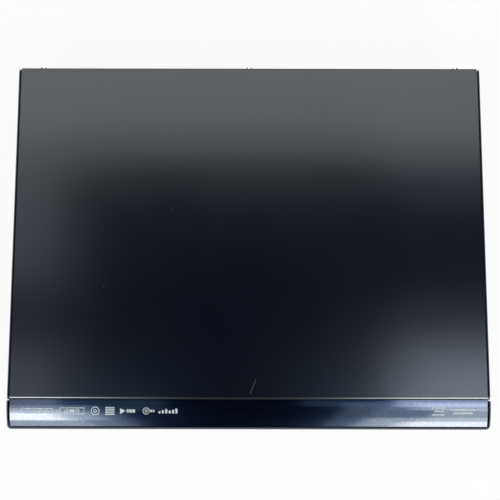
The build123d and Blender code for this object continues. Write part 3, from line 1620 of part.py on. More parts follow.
# The head drum leans over, as helical scanning needs
drum_plane = Plane(origin=(deck_x, drum_y, deck_top + drum_lift)).rotated((drum_tilt, 0, 0))
with BuildPart(drum_plane) as lower_drum:
    with Locations((0, 0, drum_lower_height / 2)):
        Cylinder(drum_radius, drum_lower_height)
    with Locations((0, 0, drum_lower_height + drum_upper_height / 4)):
        Cylinder(drum_shaft_radius, drum_upper_height / 2)
    with BuildSketch(Plane.XY.offset(deck_top)) as pedestal:
        with Locations((deck_x, drum_y)):
            Circle(drum_pedestal)
    extrude(amount=drum_lift + drum_lower_height / 2)
save(lower_drum, "lower_drum")

with BuildPart(drum_plane) as head_drum:
    with Locations((0, 0, drum_lower_height + seat_gap + drum_upper_height / 2)):
        Cylinder(drum_radius, drum_upper_height)
    with Locations((0, 0, drum_lower_height + drum_upper_height / 4 + seat_gap)):
        Cylinder(drum_shaft_radius + pin_gap, drum_upper_height / 2 + seat_gap, mode=Mode.SUBTRACT)
save(head_drum, "head_drum")

with BuildPart() as capstan_motor:
    post(capstan_x, capstan_y, deck_z - capstan_motor_height, deck_z, capstan_motor_radius)
    post(
        capstan_x, capstan_y, deck_z - capstan_motor_height / 2, deck_z + cut_over,
        capstan_radius + pin_gap, mode=Mode.SUBTRACT,
    )
save(capstan_motor, "capstan_motor")

with BuildPart() as capstan:
    post(
        capstan_x, capstan_y, deck_z - capstan_motor_height / 2 + seat_gap, deck_top + capstan_height,
        capstan_radius,
    )
    post(capstan_x, capstan_y, deck_top + seat_gap, deck_top + seat_gap + capstan_radius, capstan_collar)
save(capstan, "capstan")

with BuildPart() as pinch_arm:
    arm_z = deck_top + pinch_arm_lift
    with BuildSketch(Plane.XY.offset(arm_z)) as arm_outline:
        with Locations(Location(((pinch_x + roller_x) / 2, (pinch_y + roller_y) / 2, 0),
                                (0, 0, math.degrees(pinch_rest)))):
            SlotCenterToCenter(pinch_arm_length, 2 * pinch_hub_radius - seat_gap)
    extrude(amount=pinch_arm_thick)
    post(pinch_x, pinch_y, deck_top + seat_gap, arm_z + pinch_arm_thick, pinch_hub_radius)
    post(
        roller_x, roller_y, arm_z, deck_top + pinch_roller_lift + pinch_roller_height - seat_gap,
        pinch_axle_radius,
    )
    post(pinch_x, pinch_y, deck_top, arm_z + pinch_arm_thick + cut_over, pinch_pivot_radius + pin_gap,
         mode=Mode.SUBTRACT)
save(pinch_arm, "pinch_arm")

with BuildPart() as pinch_roller:
    roller_z = deck_top + pinch_roller_lift
    post(roller_x, roller_y, roller_z, roller_z + pinch_roller_height, pinch_roller_radius)
    post(roller_x, roller_y, roller_z - cut_over, roller_z + pinch_roller_height + cut_over,
         pinch_axle_radius + pin_gap, mode=Mode.SUBTRACT)
save(pinch_roller, "pinch_roller")

for guide_name, side in guide_sides.items():
    with BuildPart() as guide:
        guide_x = deck_x + side * guide_start_out
        guide_z = deck_top + seat_gap
        post(guide_x, guide_start_y, guide_z, guide_z + guide_block_height, guide_block / 2)
        post(guide_x, guide_start_y, guide_z, guide_z + guide_height, guide_post_radius)
        for flange_z in (guide_z + guide_block_height + guide_flange, guide_z + guide_height - guide_flange):
            post(guide_x, guide_start_y, flange_z, flange_z + guide_flange, guide_post_radius + guide_flange)
        post(guide_x, guide_start_y, deck_z + seat_gap, guide_z + guide_flange, guide_peg_radius)
    save(guide, guide_name)
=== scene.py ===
"""Finishes and small parts of a disc and cassette recorder, laid out as a Blender add-on."""

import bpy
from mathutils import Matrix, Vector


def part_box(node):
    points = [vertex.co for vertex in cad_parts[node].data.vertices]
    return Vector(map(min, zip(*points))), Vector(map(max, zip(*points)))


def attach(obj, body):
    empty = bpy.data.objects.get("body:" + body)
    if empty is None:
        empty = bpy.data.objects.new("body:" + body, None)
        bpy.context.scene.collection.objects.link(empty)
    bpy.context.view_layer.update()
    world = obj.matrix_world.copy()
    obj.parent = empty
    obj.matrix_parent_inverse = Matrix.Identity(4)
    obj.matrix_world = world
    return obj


bl_info = {
    "name": "Recorder finishes",
    "version": (1, 0, 0),
    "blender": (4, 5, 0),
    "location": "3D View > Sidebar > Recorder",
    "description": "Dresses the recorder's solids with their finishes and small parts",
    "category": "Object",
}

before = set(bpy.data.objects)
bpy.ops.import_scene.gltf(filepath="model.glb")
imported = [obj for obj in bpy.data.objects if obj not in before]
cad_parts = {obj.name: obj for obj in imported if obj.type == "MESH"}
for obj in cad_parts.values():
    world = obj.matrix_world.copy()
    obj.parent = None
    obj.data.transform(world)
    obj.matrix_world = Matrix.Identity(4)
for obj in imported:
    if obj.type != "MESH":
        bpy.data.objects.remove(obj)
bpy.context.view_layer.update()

import math
import random

import bmesh
import bpy
from bpy.props import FloatProperty, FloatVectorProperty, IntProperty, PointerProperty
from mathutils import Matrix, Vector
from mathutils.bvhtree import BVHTree

MM = 0.001
MOULD_DEPTH = 0.01 * MM
MERGE_GAP = 1e-7


class Channel:
    """One shader socket, so that shader maths can be written as an expression."""

    def __init__(self, tree, socket):
        self.tree = tree
        self.socket = socket

    def maths(self, operation, *values):
        return NodeMaker(self.tree).node("ShaderNodeMath", {"operation": operation}, dict(enumerate(values)))

    def __add__(self, other):
        return self.maths("ADD", self, other)

    __radd__ = __add__

    def __sub__(self, other):
        return self.maths("SUBTRACT", self, other)

    def __rsub__(self, other):
        return self.maths("SUBTRACT", other, self)

    def __mul__(self, other):
        return self.maths("MULTIPLY", self, other)

    __rmul__ = __mul__

    def __truediv__(self, other):
        return self.maths("DIVIDE", self, other)

    def __rtruediv__(self, other):
        return self.maths("DIVIDE", other, self)

    def __pow__(self, other):
        return self.maths("POWER", self, other)

    def __rpow__(self, other):
        return self.maths("POWER", other, self)

    def __abs__(self):
        return self.maths("ABSOLUTE", self)

    def __lt__(self, other):
        return self.maths("LESS_THAN", self, other)

    def __gt__(self, other):
        return self.maths("GREATER_THAN", self, other)

    def greater(self, other):
        return self.maths("MAXIMUM", self, other)

    def fraction(self):
        return self.maths("FRACT", self)

    def ripple(self, spacing):
        """A smooth wave from 0 to 1 that repeats at a spacing."""
        turns = self * (2 * math.pi / spacing)
        return turns.maths("SINE", turns) * 0.5 + 0.5

    def ramp(self, low, high):
        """0 below low, 1 above high, and a smooth rise between them."""
        return NodeMaker(self.tree).node(
            "ShaderNodeMapRange", {"interpolation_type": "SMOOTHSTEP"},
            {"Value": self, "From Min": low, "From Max": high},
        )


def feed(tree, place, value):
    """Links a channel to a socket, or sets the socket to a number, colour or vector."""
    if isinstance(value, Channel):
        tree.links.new(value.socket, place)
    elif place.type == "RGBA":
        place.default_value = (*tuple(value)[:3], 1.0)
    else:
        place.default_value = value


class NodeMaker:
    """Adds nodes to one node tree."""

    def __init__(self, tree):
        self.tree = tree

    def node(self, kind, settings=None, inputs=None, out=0):
        made = self.tree.nodes.new(kind)
        for name, value in (settings or {}).items():
            setattr(made, name, value)
        for name, value in (inputs or {}).items():
            feed(self.tree, made.inputs[name], value)
        return Channel(self.tree, made.outputs[out])

    def mix(self, factor, low, high):
        """A colour between low and high."""
        return self.node("ShaderNodeMix", {"data_type": "RGBA"}, {0: factor, 6: low, 7: high}, 2)


def shade(colour, level):
    """The same colour, lighter or darker."""
    return [part * level for part in colour]


def socket_name(plain):
    """A socket's name from an argument's: coat_ior gives Coat IOR."""
    return plain.replace("_", " ").title().replace("Ior", "IOR")


class Finish(NodeMaker):
    """A procedural material around one Principled shader."""

    def __init__(self, name, **constants):
        self.material = bpy.data.materials.new(name)
        self.material.use_nodes = True
        super().__init__(self.material.node_tree)
        self.shader = self.tree.nodes["Principled BSDF"]
        self.place = self.node("ShaderNodeTexCoord", out="Object")
        self.axes = self.node("ShaderNodeSeparateXYZ", None, {"Vector": self.place})
        self.put({socket_name(plain): value for plain, value in constants.items()})

    def put(self, sockets):
        """Feeds the shader's own sockets."""
        for name, value in sockets.items():
            feed(self.tree, self.shader.inputs[name], value)

    def axis(self, letter):
        """One object coordinate, in metres."""
        return Channel(self.tree, self.axes.socket.node.outputs[letter])

    def stretched(self, scale, turn=(0, 0, 0)):
        """Object coordinates, turned and scaled."""
        return self.node(
            "ShaderNodeMapping", None, {"Vector": self.place, "Rotation": turn, "Scale": scale}, "Vector"
        )

    def noise(self, scale, detail=2.0, vector=None):
        """Soft noise from 0 to 1."""
        inputs = {"Vector": vector or self.place, "Scale": scale, "Detail": detail}
        return self.node("ShaderNodeTexNoise", None, inputs, "Fac")

    def cells(self, scale, out="Distance"):
        """Distance from the middle of each of many scattered cells."""
        return self.node("ShaderNodeTexVoronoi", None, {"Vector": self.place, "Scale": scale}, out)

    def cell_value(self, scale):
        """A random number from 0 to 1 for each cell."""
        return self.node("ShaderNodeSeparateColor", None, {"Color": self.cells(scale, "Color")}, "Red")

    def spots(self, scale, size, share):
        """1 on a round spot in the middle of a share of the cells."""
        return (self.cells(scale) < size) * (self.cell_value(scale) > 1 - share)

    def toned(self, factor, colour, low, high):
        """One colour, at a level between low and high."""
        return self.mix(factor, shade(colour, low), shade(colour, high))

    def bump(self, height, depth):
        """Relief whose height runs from 0 to 1 over a depth in metres."""
        relief = self.node("ShaderNodeBump", None, {"Height": height, "Distance": depth}, "Normal")
        self.put({"Normal": relief})

    def streaks(self, length, width, share, turn):
        """Sparse fine scratches along one direction."""
        softness = 0.05
        drawn_out = self.stretched((1 / length, 1 / width, 1 / width), turn)
        return self.noise(1.0, 1.0, drawn_out).ramp(share, share + softness)

    def line_mark(self, start, end, width):
        """1 on a fine straight line drawn on a level face, fading at its ends."""
        run = Vector(end) - Vector(start)
        length = run.length
        fade = length / 5
        x, y = self.axis("X") - start[0], self.axis("Y") - start[1]
        along = (x * run.x + y * run.y) / length
        across = abs(x * (run.y / length) - y * (run.x / length))
        ends = along.ramp(0.0, fade) * (1.0 - along.ramp(length - fade, length))
        return ends * (1.0 - across.ramp(width / 4, width / 2))


def colour_property(name, description, default):
    """A colour that a user can change."""
    return FloatVectorProperty(name=name, description=description, subtype="COLOR", size=3, default=default)


def length_property(name, description, default):
    """A length in metres that a user can change."""
    return FloatProperty(name=name, description=description, unit="LENGTH", precision=5, default=default)


class FinishSettings(bpy.types.PropertyGroup):
    """Colours of the recorder's finishes."""

    paint: colour_property("Cover paint", "Matte paint of the folded cover", (0.0006, 0.0014, 0.0042))
    gloss: colour_property("Gloss base", "Blue-black base of the polished mouldings", (0.0014, 0.0062, 0.029))
    fleck: colour_property("Fleck", "Metal flecks under the clear gloss", (0.08, 0.102, 0.115))
    ink: colour_property("Print", "Pale print on the front mouldings and keys", (0.42, 0.44, 0.45))
    key: colour_property("Keys", "Satin moulding of the keys", (0.012, 0.012, 0.014))
    steel: colour_property("Zinc coat", "Zinc-coated sheet steel", (0.5, 0.51, 0.52))
    nickel: colour_property("Nickel", "Bright plating of sockets, screws and rods", (0.68, 0.67, 0.64))
    aluminium: colour_property("Aluminium", "Turned and cast aluminium", (0.58, 0.59, 0.6))
    brass: colour_property("Gold contact", "Gold-plated contacts", (0.75, 0.52, 0.2))
    board: colour_property("Circuit board", "Green lacquer of the boards", (0.008, 0.055, 0.024))
    moulding: colour_property("Black moulding", "Moulded black plastic", (0.012, 0.012, 0.013))
    drive: colour_property("Drive moulding", "Dark grey plastic of the disc drive", (0.022, 0.023, 0.025))
    pale: colour_property("Natural moulding", "Unpainted pale plastic", (0.7, 0.68, 0.62))
    rubber: colour_property("Rubber", "Soft black rubber", (0.014, 0.014, 0.014))
    dust: colour_property("Dust", "Dust, scratch and rubbed paint on the cover", (0.07, 0.072, 0.078))
    glass: colour_property("Display glass", "Dark face of the display", (0.006, 0.012, 0.012))
    segment: colour_property("Segments", "Unlit segments of the display", (0.45, 0.5, 0.48))


class DetailSettings(bpy.types.PropertyGroup):
    """Sizes of the small parts that the finishes add."""

    edge: length_property("Edge", "Width of the eased edges", 0.0003)
    polished_edge: length_property("Polished edge", "Depth of the cover's polished front edge", 0.0024)
    mark_rise: length_property("Mark rise", "How far key marks stand proud", 0.00008)
    print_rise: length_property("Print rise", "Thickness of the print above the moulding", 0.00005)
    print_line: length_property("Print line", "Width of the thinnest printed line", 0.0006)
    print_set_back: length_property("Print set-back", "From the cover's front edge to the print", 0.010)
    jack_radius: length_property("Jack radius", "Outer radius of the round jacks", 0.0042)
    jack_column: length_property("Jack columns", "Spacing of the rear jacks across", 0.015)
    jack_row: length_property("Jack rows", "Spacing of the rear jacks in height", 0.013)
    socket_ring: length_property("Socket ring", "Width of the coloured socket rings", 0.0016)
    aerial_radius: length_property("Aerial radius", "Outer radius of the aerial sockets", 0.00475)
    aerial_pitch: length_property("Aerial spacing", "Between the two aerial sockets", 0.017)
    aerial_nut: length_property("Aerial nut", "Thickness of the aerial nuts", 0.002)
    thread_pitch: length_property("Thread pitch", "Pitch of the aerial socket threads", 0.0008)
    thread_rise: length_property("Thread rise", "Height of the aerial socket threads", 0.0002)
    inlet_pitch: length_property("Inlet pins", "Between the two pins of the mains inlet", 0.0086)
    inlet_pin: length_property("Inlet pin radius", "Radius of the mains inlet's pins", 0.0012)
    digit_height: length_property("Digit height", "Height of the display digits", 0.0066)
    digits: IntProperty(name="Digits", description="Number of display digits", default=7, min=1)
    board_draw: IntProperty(name="Board draw", description="Seed for the board's small parts", default=11)


class StageSettings(bpy.types.PropertyGroup):
    """Camera and lights."""

    camera_place: FloatVectorProperty(
        name="Camera place", description="Where the camera stands", subtype="TRANSLATION", unit="LENGTH",
        size=3, default=(0.00096, -0.1137, 0.8726),
    )
    camera_tilt: FloatProperty(
        name="Camera tilt", description="Lean of the camera from straight down", subtype="ANGLE",
        default=math.radians(7.6),
    )
    camera_roll: FloatProperty(
        name="Camera roll", description="Turn of the camera about its own view", subtype="ANGLE",
        default=math.radians(0.105),
    )
    lens: FloatProperty(
        name="Lens", description="Focal length of the camera", unit="CAMERA", default=63.04, min=10.0,
    )
    panel_height: length_property("Panel height", "Height of the light panels", 1.6)
    panel_step: length_property("Panel step", "Height between one light panel and the next", 0.01)
    panel_level: FloatProperty(
        name="Panel level", description="Brightness of the light panels", default=1.0, min=0.0,
    )


class RECORDER_OT_casing(bpy.types.Operator):
    """Finish the cover, the base, the rear panel, the screws and the feet"""

    bl_idname = "recorder.casing"
    bl_label = "Casing"

    def execute(self, context):
        colours = context.scene.recorder_finish
        details = context.scene.recorder_detail
        dress(painted_cover(colours, details), "top_cover")
        dress(zinc_sheet("zinc_sheet", colours), "base_chassis", "rear_panel")
        dress(plated("screw_plating", colours.nickel), "casing_screws")
        dress(moulded("foot_moulding", colours.moulding, roughness=0.5), "feet")
        dress(moulded("rubber", colours.rubber, roughness=0.8, depth=0.03 * MM), "foot_pads")
        add_label_plate(colours, details)
        return {"FINISHED"}


class RECORDER_OT_front(bpy.types.Operator):
    """Finish the polished front mouldings"""

    bl_idname = "recorder.front"
    bl_label = "Front mouldings"

    def execute(self, context):
        colours = context.scene.recorder_finish
        details = context.scene.recorder_detail
        dress(flecked_gloss(colours), "front_bezel", "cassette_flap", "front_door", "tray_front")
        soften(details.edge, "front_door", "tray_front")
        add_front_print(colours, details)
        return {"FINISHED"}


class RECORDER_OT_keys(bpy.types.Operator):
    """Finish the keys and raise their marks"""

    bl_idname = "recorder.keys"
    bl_label = "Keys"

    def execute(self, context):
        colours = context.scene.recorder_finish
        details = context.scene.recorder_detail
        satin = moulded("key_moulding", colours.key, roughness=0.3, coat_weight=0.2, coat_roughness=0.12)
        dress(satin, *KEY_MARKS)
        soften(details.edge, *KEY_MARKS)
        add_key_marks(colours, details)
        return {"FINISHED"}


class RECORDER_OT_display(bpy.types.Operator):
    """Finish the window and the display behind it"""

    bl_idname = "recorder.display"
    bl_label = "Display"

    def execute(self, context):
        colours = context.scene.recorder_finish
        details = context.scene.recorder_detail
        dress(smoked_clear(), "display_window")
        glass = moulded("display_glass", colours.glass, roughness=0.15, depth=0.002 * MM, coat_weight=1.0)
        dress(glass, "display_module")
        soften(details.edge, "display_window")
        add_display_digits(colours, details)
        return {"FINISHED"}


class RECORDER_OT_sockets(bpy.types.Operator):
    """Finish the front and rear sockets with their rings, threads and contacts"""

    bl_idname = "recorder.sockets"
    bl_label = "Sockets"

    def execute(self, context):
        colours = context.scene.recorder_finish
        details = context.scene.recorder_detail
        shell = plated("shell_plating", colours.nickel)
        dress(shell, "usb_socket", "hdmi_socket", "lan_socket")
        dress(zinc_sheet("tuner_shell", colours, level=0.95), "tuner_module")
        dress(moulded("slot_moulding", colours.moulding), "card_slot")
        dress(barrel_finish("rear_jack", colours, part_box("rear_panel")[0].y, 1), "rear_av_sockets")
        dress(barrel_finish("front_jack", colours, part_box("front_board")[0].y, -1), "front_av_sockets")
        dress(inlet_finish(colours, details), "ac_inlet")
        add_socket_rings(details)
        add_aerial_threads(details, shell)
        add_contacts(colours)
        return {"FINISHED"}


class RECORDER_OT_boards(bpy.types.Operator):
    """Finish the boards, their parts, the fan and the hard drive"""

    bl_idname = "recorder.boards"
    bl_label = "Boards"

    def execute(self, context):
        colours = context.scene.recorder_finish
        details = context.scene.recorder_detail
        dress(circuit_board("flat_board", colours, up="Y"), "main_board", "power_board")
        dress(circuit_board("upright_board", colours, up="Z"), "front_board")
        dress(moulded("chip_moulding", colours.moulding, roughness=0.55), "main_board_chips")
        dress(power_part_finish(colours), "power_parts")
        dress(moulded("fan_moulding", colours.moulding, roughness=0.4), "fan_frame", "fan_rotor")
        dress(plated("drive_case", colours.aluminium, roughness=0.32), "hard_drive")
        dress(striped_cable(colours), "drive_flat_cable")
        add_board_parts(colours, details)
        return {"FINISHED"}


class RECORDER_OT_disc_drive(bpy.types.Operator):
    """Finish the disc drive"""

    bl_idname = "recorder.disc_drive"
    bl_label = "Disc drive"

    def execute(self, context):
        colours = context.scene.recorder_finish
        dress(zinc_sheet("drive_sheet", colours), "drive_bracket", "drive_lid")
        body = moulded("drive_moulding", colours.drive, roughness=0.5)
        dress(body, "drive_chassis", "traverse_frame", "clamp_puck")
        dress(moulded("tray_moulding", colours.drive, roughness=0.42), "disc_tray")
        dress(moulded("turntable_moulding", colours.drive, roughness=0.6), "turntable")
        dress(moulded("sled_moulding", colours.moulding, roughness=0.4), "laser_sled")
        dress(moulded("gear_moulding", colours.pale, roughness=0.4), "tray_gear")
        dress(plated("rod_plating", colours.nickel, roughness=0.14), "sled_rods", "spindle_motor")
        return {"FINISHED"}


class RECORDER_OT_cassette_deck(bpy.types.Operator):
    """Finish the cassette deck"""

    bl_idname = "recorder.cassette_deck"
    bl_label = "Cassette deck"

    def execute(self, context):
        colours = context.scene.recorder_finish
        sheet = zinc_sheet("deck_sheet", colours)
        dress(sheet, "deck_base", "cassette_cage", "cassette_carriage", "cassette_holder")
        for name in ("lower_drum", "head_drum"):
            dress(turned_metal(f"{name}_metal", colours.aluminium, middle_of("head_drum")), name)
        for name in ("capstan", "capstan_motor"):
            dress(turned_metal(f"{name}_metal", colours.nickel, middle_of("capstan")), name)
        for name in ("supply_reel", "takeup_reel", "pinch_arm", "supply_guide", "takeup_guide"):
            dress(moulded(f"{name}_moulding", colours.pale), name)
        dress(moulded("roller_rubber", colours.rubber, roughness=0.7, depth=0.02 * MM), "pinch_roller")
        return {"FINISHED"}


class RECORDER_OT_stage(bpy.types.Operator):
    """Set the floor, the light and the camera"""

    bl_idname = "recorder.stage"
    bl_label = "Stage"

    def execute(self, context):
        settings = context.scene.recorder_stage
        set_floor()
        set_world(context.scene)
        set_panels(settings)
        set_camera(context.scene, settings)
        context.scene.view_settings.view_transform = "Standard"
        return {"FINISHED"}


def dress(finish, *nodes):
    """Gives a finish to solids of the frame."""
    for name in nodes:
        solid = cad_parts[name]
        solid.data.materials.clear()
        solid.data.materials.append(finish.material)


def soften(width, *nodes):
    """Eases the sharp edges of simple solids."""
    for name in nodes:
        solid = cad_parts[name]
        solid.modifiers.new("join", "WELD").merge_threshold = width / 100
        bevel = solid.modifiers.new("ease", "BEVEL")
        bevel.width = width
        bevel.segments = 2
        bevel.limit_method = "ANGLE"
        bevel.angle_limit = math.radians(40)


def painted_cover(colours, details):
    """Fine-grained matte paint with dust, faint rubbing, one scratch and a polished front edge."""
    made = Finish("cover_paint", coat_ior=1.7, coat_roughness=0.16)
    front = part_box("top_cover")[0].y
    grain = made.noise(scale=2600.0, detail=3.0)
    smudge = made.noise(scale=11.0, detail=4.0)
    wiped = made.streaks(length=30 * MM, width=0.5 * MM, share=0.8, turn=(0, 0, 1.1))
    brushed = made.streaks(length=20 * MM, width=0.4 * MM, share=0.82, turn=(0, 0, 2.3))
    dust = made.spots(scale=100.0, size=0.055, share=0.1)
    scratch = made.line_mark((7.0 * MM, front + 19.0 * MM), (0.7 * MM, front + 4.0 * MM), width=0.9 * MM)
    mark = dust.greater(scratch * 0.7).greater(wiped.greater(brushed) * 0.3)
    paint = made.toned(grain, colours.paint, 1, 2)
    polished = made.axis("Y") < front + details.polished_edge
    made.put({
        "Base Color": made.mix(mark, paint, colours.dust),
        "Roughness": 0.14 + smudge * 0.05 + grain * 0.03,
        "Coat Weight": polished * 0.75,
    })
    made.bump(grain, depth=0.004 * MM)
    return made


def flecked_gloss(colours):
    """Clear gloss over a blue-black base with metal flecks, thicker on the crown than on the front."""
    made = Finish("flecked_gloss", metallic=0.96, coat_roughness=0.085, coat_ior=1.6)
    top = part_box("front_bezel")[1].z
    crown = made.axis("Z").ramp(top - 17.0 * MM, top - 12.0 * MM)
    cloud = made.noise(scale=60.0, detail=3.0)
    sparkle = made.spots(scale=1400.0, size=0.32, share=0.16)
    base = made.toned(cloud, colours.gloss, 0.92, 1.08)
    made.put({
        "Base Color": made.mix(sparkle, base, colours.fleck),
        "Roughness": 0.16 + cloud * 0.03,
        "Coat Weight": 0.5 + crown * 0.5,
    })
    return made


def zinc_sheet(name, colours, level=1.0):
    """Zinc-coated sheet: faint spangle, rolling lines and light scratches."""
    made = Finish(name, metallic=1.0)
    spangle = made.cell_value(150.0)
    rolling = made.noise(1.0, 3.0, made.stretched((25.0, 1100.0, 1100.0)))
    scratch = made.streaks(length=40 * MM, width=0.4 * MM, share=0.76, turn=(0.3, 0.2, 0.9))
    tone = spangle * 0.45 + rolling * 0.4
    made.put({
        "Base Color": made.toned(tone, colours.steel, 0.72 * level, level),
        "Roughness": 0.36 + spangle * 0.1 + rolling * 0.08 - scratch * 0.1,
    })
    made.bump(rolling, depth=0.005 * MM)
    return made


def sparked(made, depth=MOULD_DEPTH):
    """Gives a finish the fine relief of a sparked mould, and returns its height."""
    texture = made.noise(scale=1700.0)
    made.bump(texture, depth)
    return texture


def moulded(name, colour, roughness=0.45, depth=MOULD_DEPTH, **constants):
    """Moulded plastic with a fine sparked texture and slight changes of tone."""
    made = Finish(name, **constants)
    texture = sparked(made, depth)
    tone = made.noise(scale=45.0, detail=3.0)
    made.put({
        "Base Color": made.toned(texture * 0.4 + tone * 0.6, colour, 0.78, 1.22),
        "Roughness": roughness - 0.07 + texture * 0.14,
    })
    return made


def plated(name, colour, roughness=0.2):
    """Bright plating with faint handling marks."""
    made = Finish(name, metallic=1.0)
    cloud = made.noise(scale=90.0, detail=4.0)
    scratch = made.streaks(length=10 * MM, width=0.2 * MM, share=0.7, turn=(0.5, 0.4, 0.7))
    made.put({
        "Base Color": made.toned(cloud, colour, 0.86, 1),
        "Roughness": roughness + cloud * 0.1 + scratch * 0.1,
    })
    return made


def turned_metal(name, colour, centre):
    """Turned metal with fine rings about an upright axis."""
    made = Finish(name, metallic=1.0)
    x = made.axis("X") - centre.x
    y = made.axis("Y") - centre.y
    rings = ((x * x + y * y) ** 0.5).ripple(0.35 * MM)
    cloud = made.noise(scale=120.0, detail=3.0)
    made.put({
        "Base Color": made.toned(rings * 0.5 + cloud * 0.5, colour, 0.8, 1),
        "Roughness": 0.24 + rings * 0.1 + cloud * 0.06,
    })
    made.bump(rings, depth=0.004 * MM)
    return made


def circuit_board(name, colours, up):
    """Lacquered board in patches of upright tracks, level tracks and soldered holes."""
    made = Finish(name, coat_weight=0.5, coat_roughness=0.15)
    pitch = 1.3 * MM
    patch_size = 9 * pitch
    track_share, hole_area = 0.32, 0.06
    upright_patches, track_patches = 0.45, 0.8
    left = (made.axis("X") / pitch).fraction()
    low = (made.axis(up) / pitch).fraction()
    patch = made.node("ShaderNodeVectorMath", {"operation": "SNAP"}, {0: made.place, 1: [patch_size] * 3})
    choice = made.node("ShaderNodeTexWhiteNoise", {"noise_dimensions": "3D"}, {"Vector": patch}, "Value")
    upright = (left < track_share) * (choice < upright_patches)
    level = (low < track_share) * (choice > upright_patches) * (choice < track_patches)
    track = upright + level
    hole = ((left - 0.5) ** 2.0 + (low - 0.5) ** 2.0 < hole_area) * (choice > track_patches)
    tone = made.noise(scale=30.0, detail=3.0)
    lacquer = made.toned(track, colours.board, 0.75, 1.7)
    made.put({
        "Base Color": made.mix(hole, made.mix(tone * 0.3, lacquer, shade(colours.board, 0.5)), colours.steel),
        "Metallic": hole,
        "Roughness": 0.42 - hole * 0.12 + tone * 0.06,
    })
    made.bump(track.greater(hole), depth=0.03 * MM)
    return made


def barrel_finish(name, colours, edge, outward):
    """Black socket body whose barrels, past one plane across Y, are plated."""
    made = Finish(name)
    sparked(made)
    barrel = (made.axis("Y") - edge) * outward > 0.0
    cloud = made.noise(scale=150.0, detail=3.0)
    plating = made.toned(cloud, colours.nickel, 0.8, 1)
    made.put({
        "Base Color": made.mix(barrel, colours.moulding, plating),
        "Metallic": barrel,
        "Roughness": 0.45 - barrel * 0.22 + cloud * 0.08,
    })
    return made


def smoked_clear():
    """Dark clear moulding over the display."""
    made = Finish("smoked_clear", alpha=0.55, ior=1.45)
    haze = made.noise(scale=14.0, detail=3.0)
    made.put({
        "Base Color": made.mix(haze, (0.004, 0.004, 0.006), (0.009, 0.009, 0.012)),
        "Roughness": 0.06 + haze * 0.05,
    })
    return made


def power_part_finish(colours):
    """Sleeved capacitor, taped transformer, bare heat sink and wound choke, told apart along X; the choke's
    wire carries painted shade in the grooves between its turns.
    """
    made = Finish("power_parts")
    sleeve, tape, soot = (0.012, 0.016, 0.03), (0.55, 0.4, 0.07), (0.02, 0.02, 0.02)
    # The choke's wire runs from painted shade in the grooves between turns to plain copper on their crests
    wire_groove_shade, wire_copper = (0.16, 0.05, 0.02), (0.5, 0.2, 0.07)
    low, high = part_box("power_parts")
    along = (made.axis("X") - low.x) / (high.x - low.x)
    past_capacitor, past_transformer, past_sink = [along > share for share in (0.2, 0.55, 0.83)]
    cloud = made.noise(scale=140.0, detail=3.0)
    turns = made.axis("Z").ripple(0.9 * MM)
    colour = made.mix(past_capacitor, sleeve, tape)
    colour = made.mix(past_transformer, colour, shade(colours.aluminium, 0.9))
    # Painted shade: the wire darkens in each groove between turns, where the relief also dips
    colour = made.mix(past_sink, colour, made.mix(turns, wire_groove_shade, wire_copper))
    made.put({
        "Base Color": made.mix(cloud * 0.25, colour, soot),
        "Metallic": past_transformer * 0.9,
        "Roughness": 0.35 + cloud * 0.15,
    })
    made.bump(turns * past_sink, depth=0.12 * MM)
    return made


def striped_cable(colours):
    """Flat pale cable with a line for each conductor."""
    made = Finish("flat_cable")
    lines = made.axis("X").ripple(1.0 * MM)
    made.put({
        "Base Color": made.toned(lines, colours.pale, 1, 0.55),
        "Roughness": 0.32 + lines * 0.15,
    })
    made.bump(lines, depth=0.06 * MM)
    return made


def inlet_finish(colours, details):
    """Black inlet with two plated pins."""
    made = Finish("mains_inlet")
    sparked(made)
    middle = middle_of("ac_inlet")
    x = abs(made.axis("X") - middle.x) - details.inlet_pitch / 2
    z = made.axis("Z") - middle.z
    clearance = 1.04
    pin = (x * x + z * z) ** 0.5 < details.inlet_pin * clearance
    cloud = made.noise(scale=200.0, detail=3.0)
    body = made.toned(cloud, colours.moulding, 0.8, 1.3)
    made.put({
        "Base Color": made.mix(pin, body, colours.nickel),
        "Metallic": pin,
        "Roughness": 0.4 - pin * 0.18 + cloud * 0.08,
    })
    return made


def middle_of(node):
    """The centre of a solid's box."""
    low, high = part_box(node)
    return (low + high) / 2


def new_object(name, form, finish):
    """Makes a bmesh into an object of the scene, in one finish."""
    mesh = bpy.data.meshes.new(name)
    form.to_mesh(mesh)
    form.free()
    mesh.materials.append(finish.material)
    made = bpy.data.objects.new(name, mesh)
    bpy.context.scene.collection.objects.link(made)
    return made


def new_piece(name, form, body, finish):
    """Makes a bmesh into a piece that rides on a body of the frame."""
    bmesh.ops.remove_doubles(form, verts=form.verts, dist=MERGE_GAP)
    bmesh.ops.recalc_face_normals(form, faces=form.faces)
    made = new_object(name, form, finish)
    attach(made, body)


def add_block(form, low, high, edge):
    """A box between two corners, with its edges eased."""
    low, high = Vector(low), Vector(high)
    place = Matrix.Translation((low + high) / 2) @ Matrix.Diagonal((*(high - low), 1))
    made = bmesh.ops.create_cube(form, size=1.0, matrix=place)
    edges = {side for corner in made["verts"] for side in corner.link_edges}
    bmesh.ops.bevel(form, geom=list(edges), offset=edge, segments=2, profile=0.5, affect="EDGES", material=-1)


def add_standing_block(form, place, size, edge):
    """A box of one size that stands on a place."""
    half = Vector((size[0] / 2, size[1] / 2, 0))
    add_block(form, place - half, place + half + Vector((0, 0, size[2])), edge)


def add_turned(form, outline, centre, axis, steps=48):
    """A closed outline of (radius, height) points, turned about an axis."""
    axis, centre = Vector(axis), Vector(centre)
    across = axis.orthogonal().normalized()
    points = [form.verts.new(centre + across * radius + axis * height) for radius, height in outline]
    edges = [form.edges.new(pair) for pair in zip(points, points[1:] + points[:1])]
    bmesh.ops.spin(
        form, geom=points + edges, cent=centre, axis=axis, angle=2 * math.pi, steps=steps, use_merge=True
    )


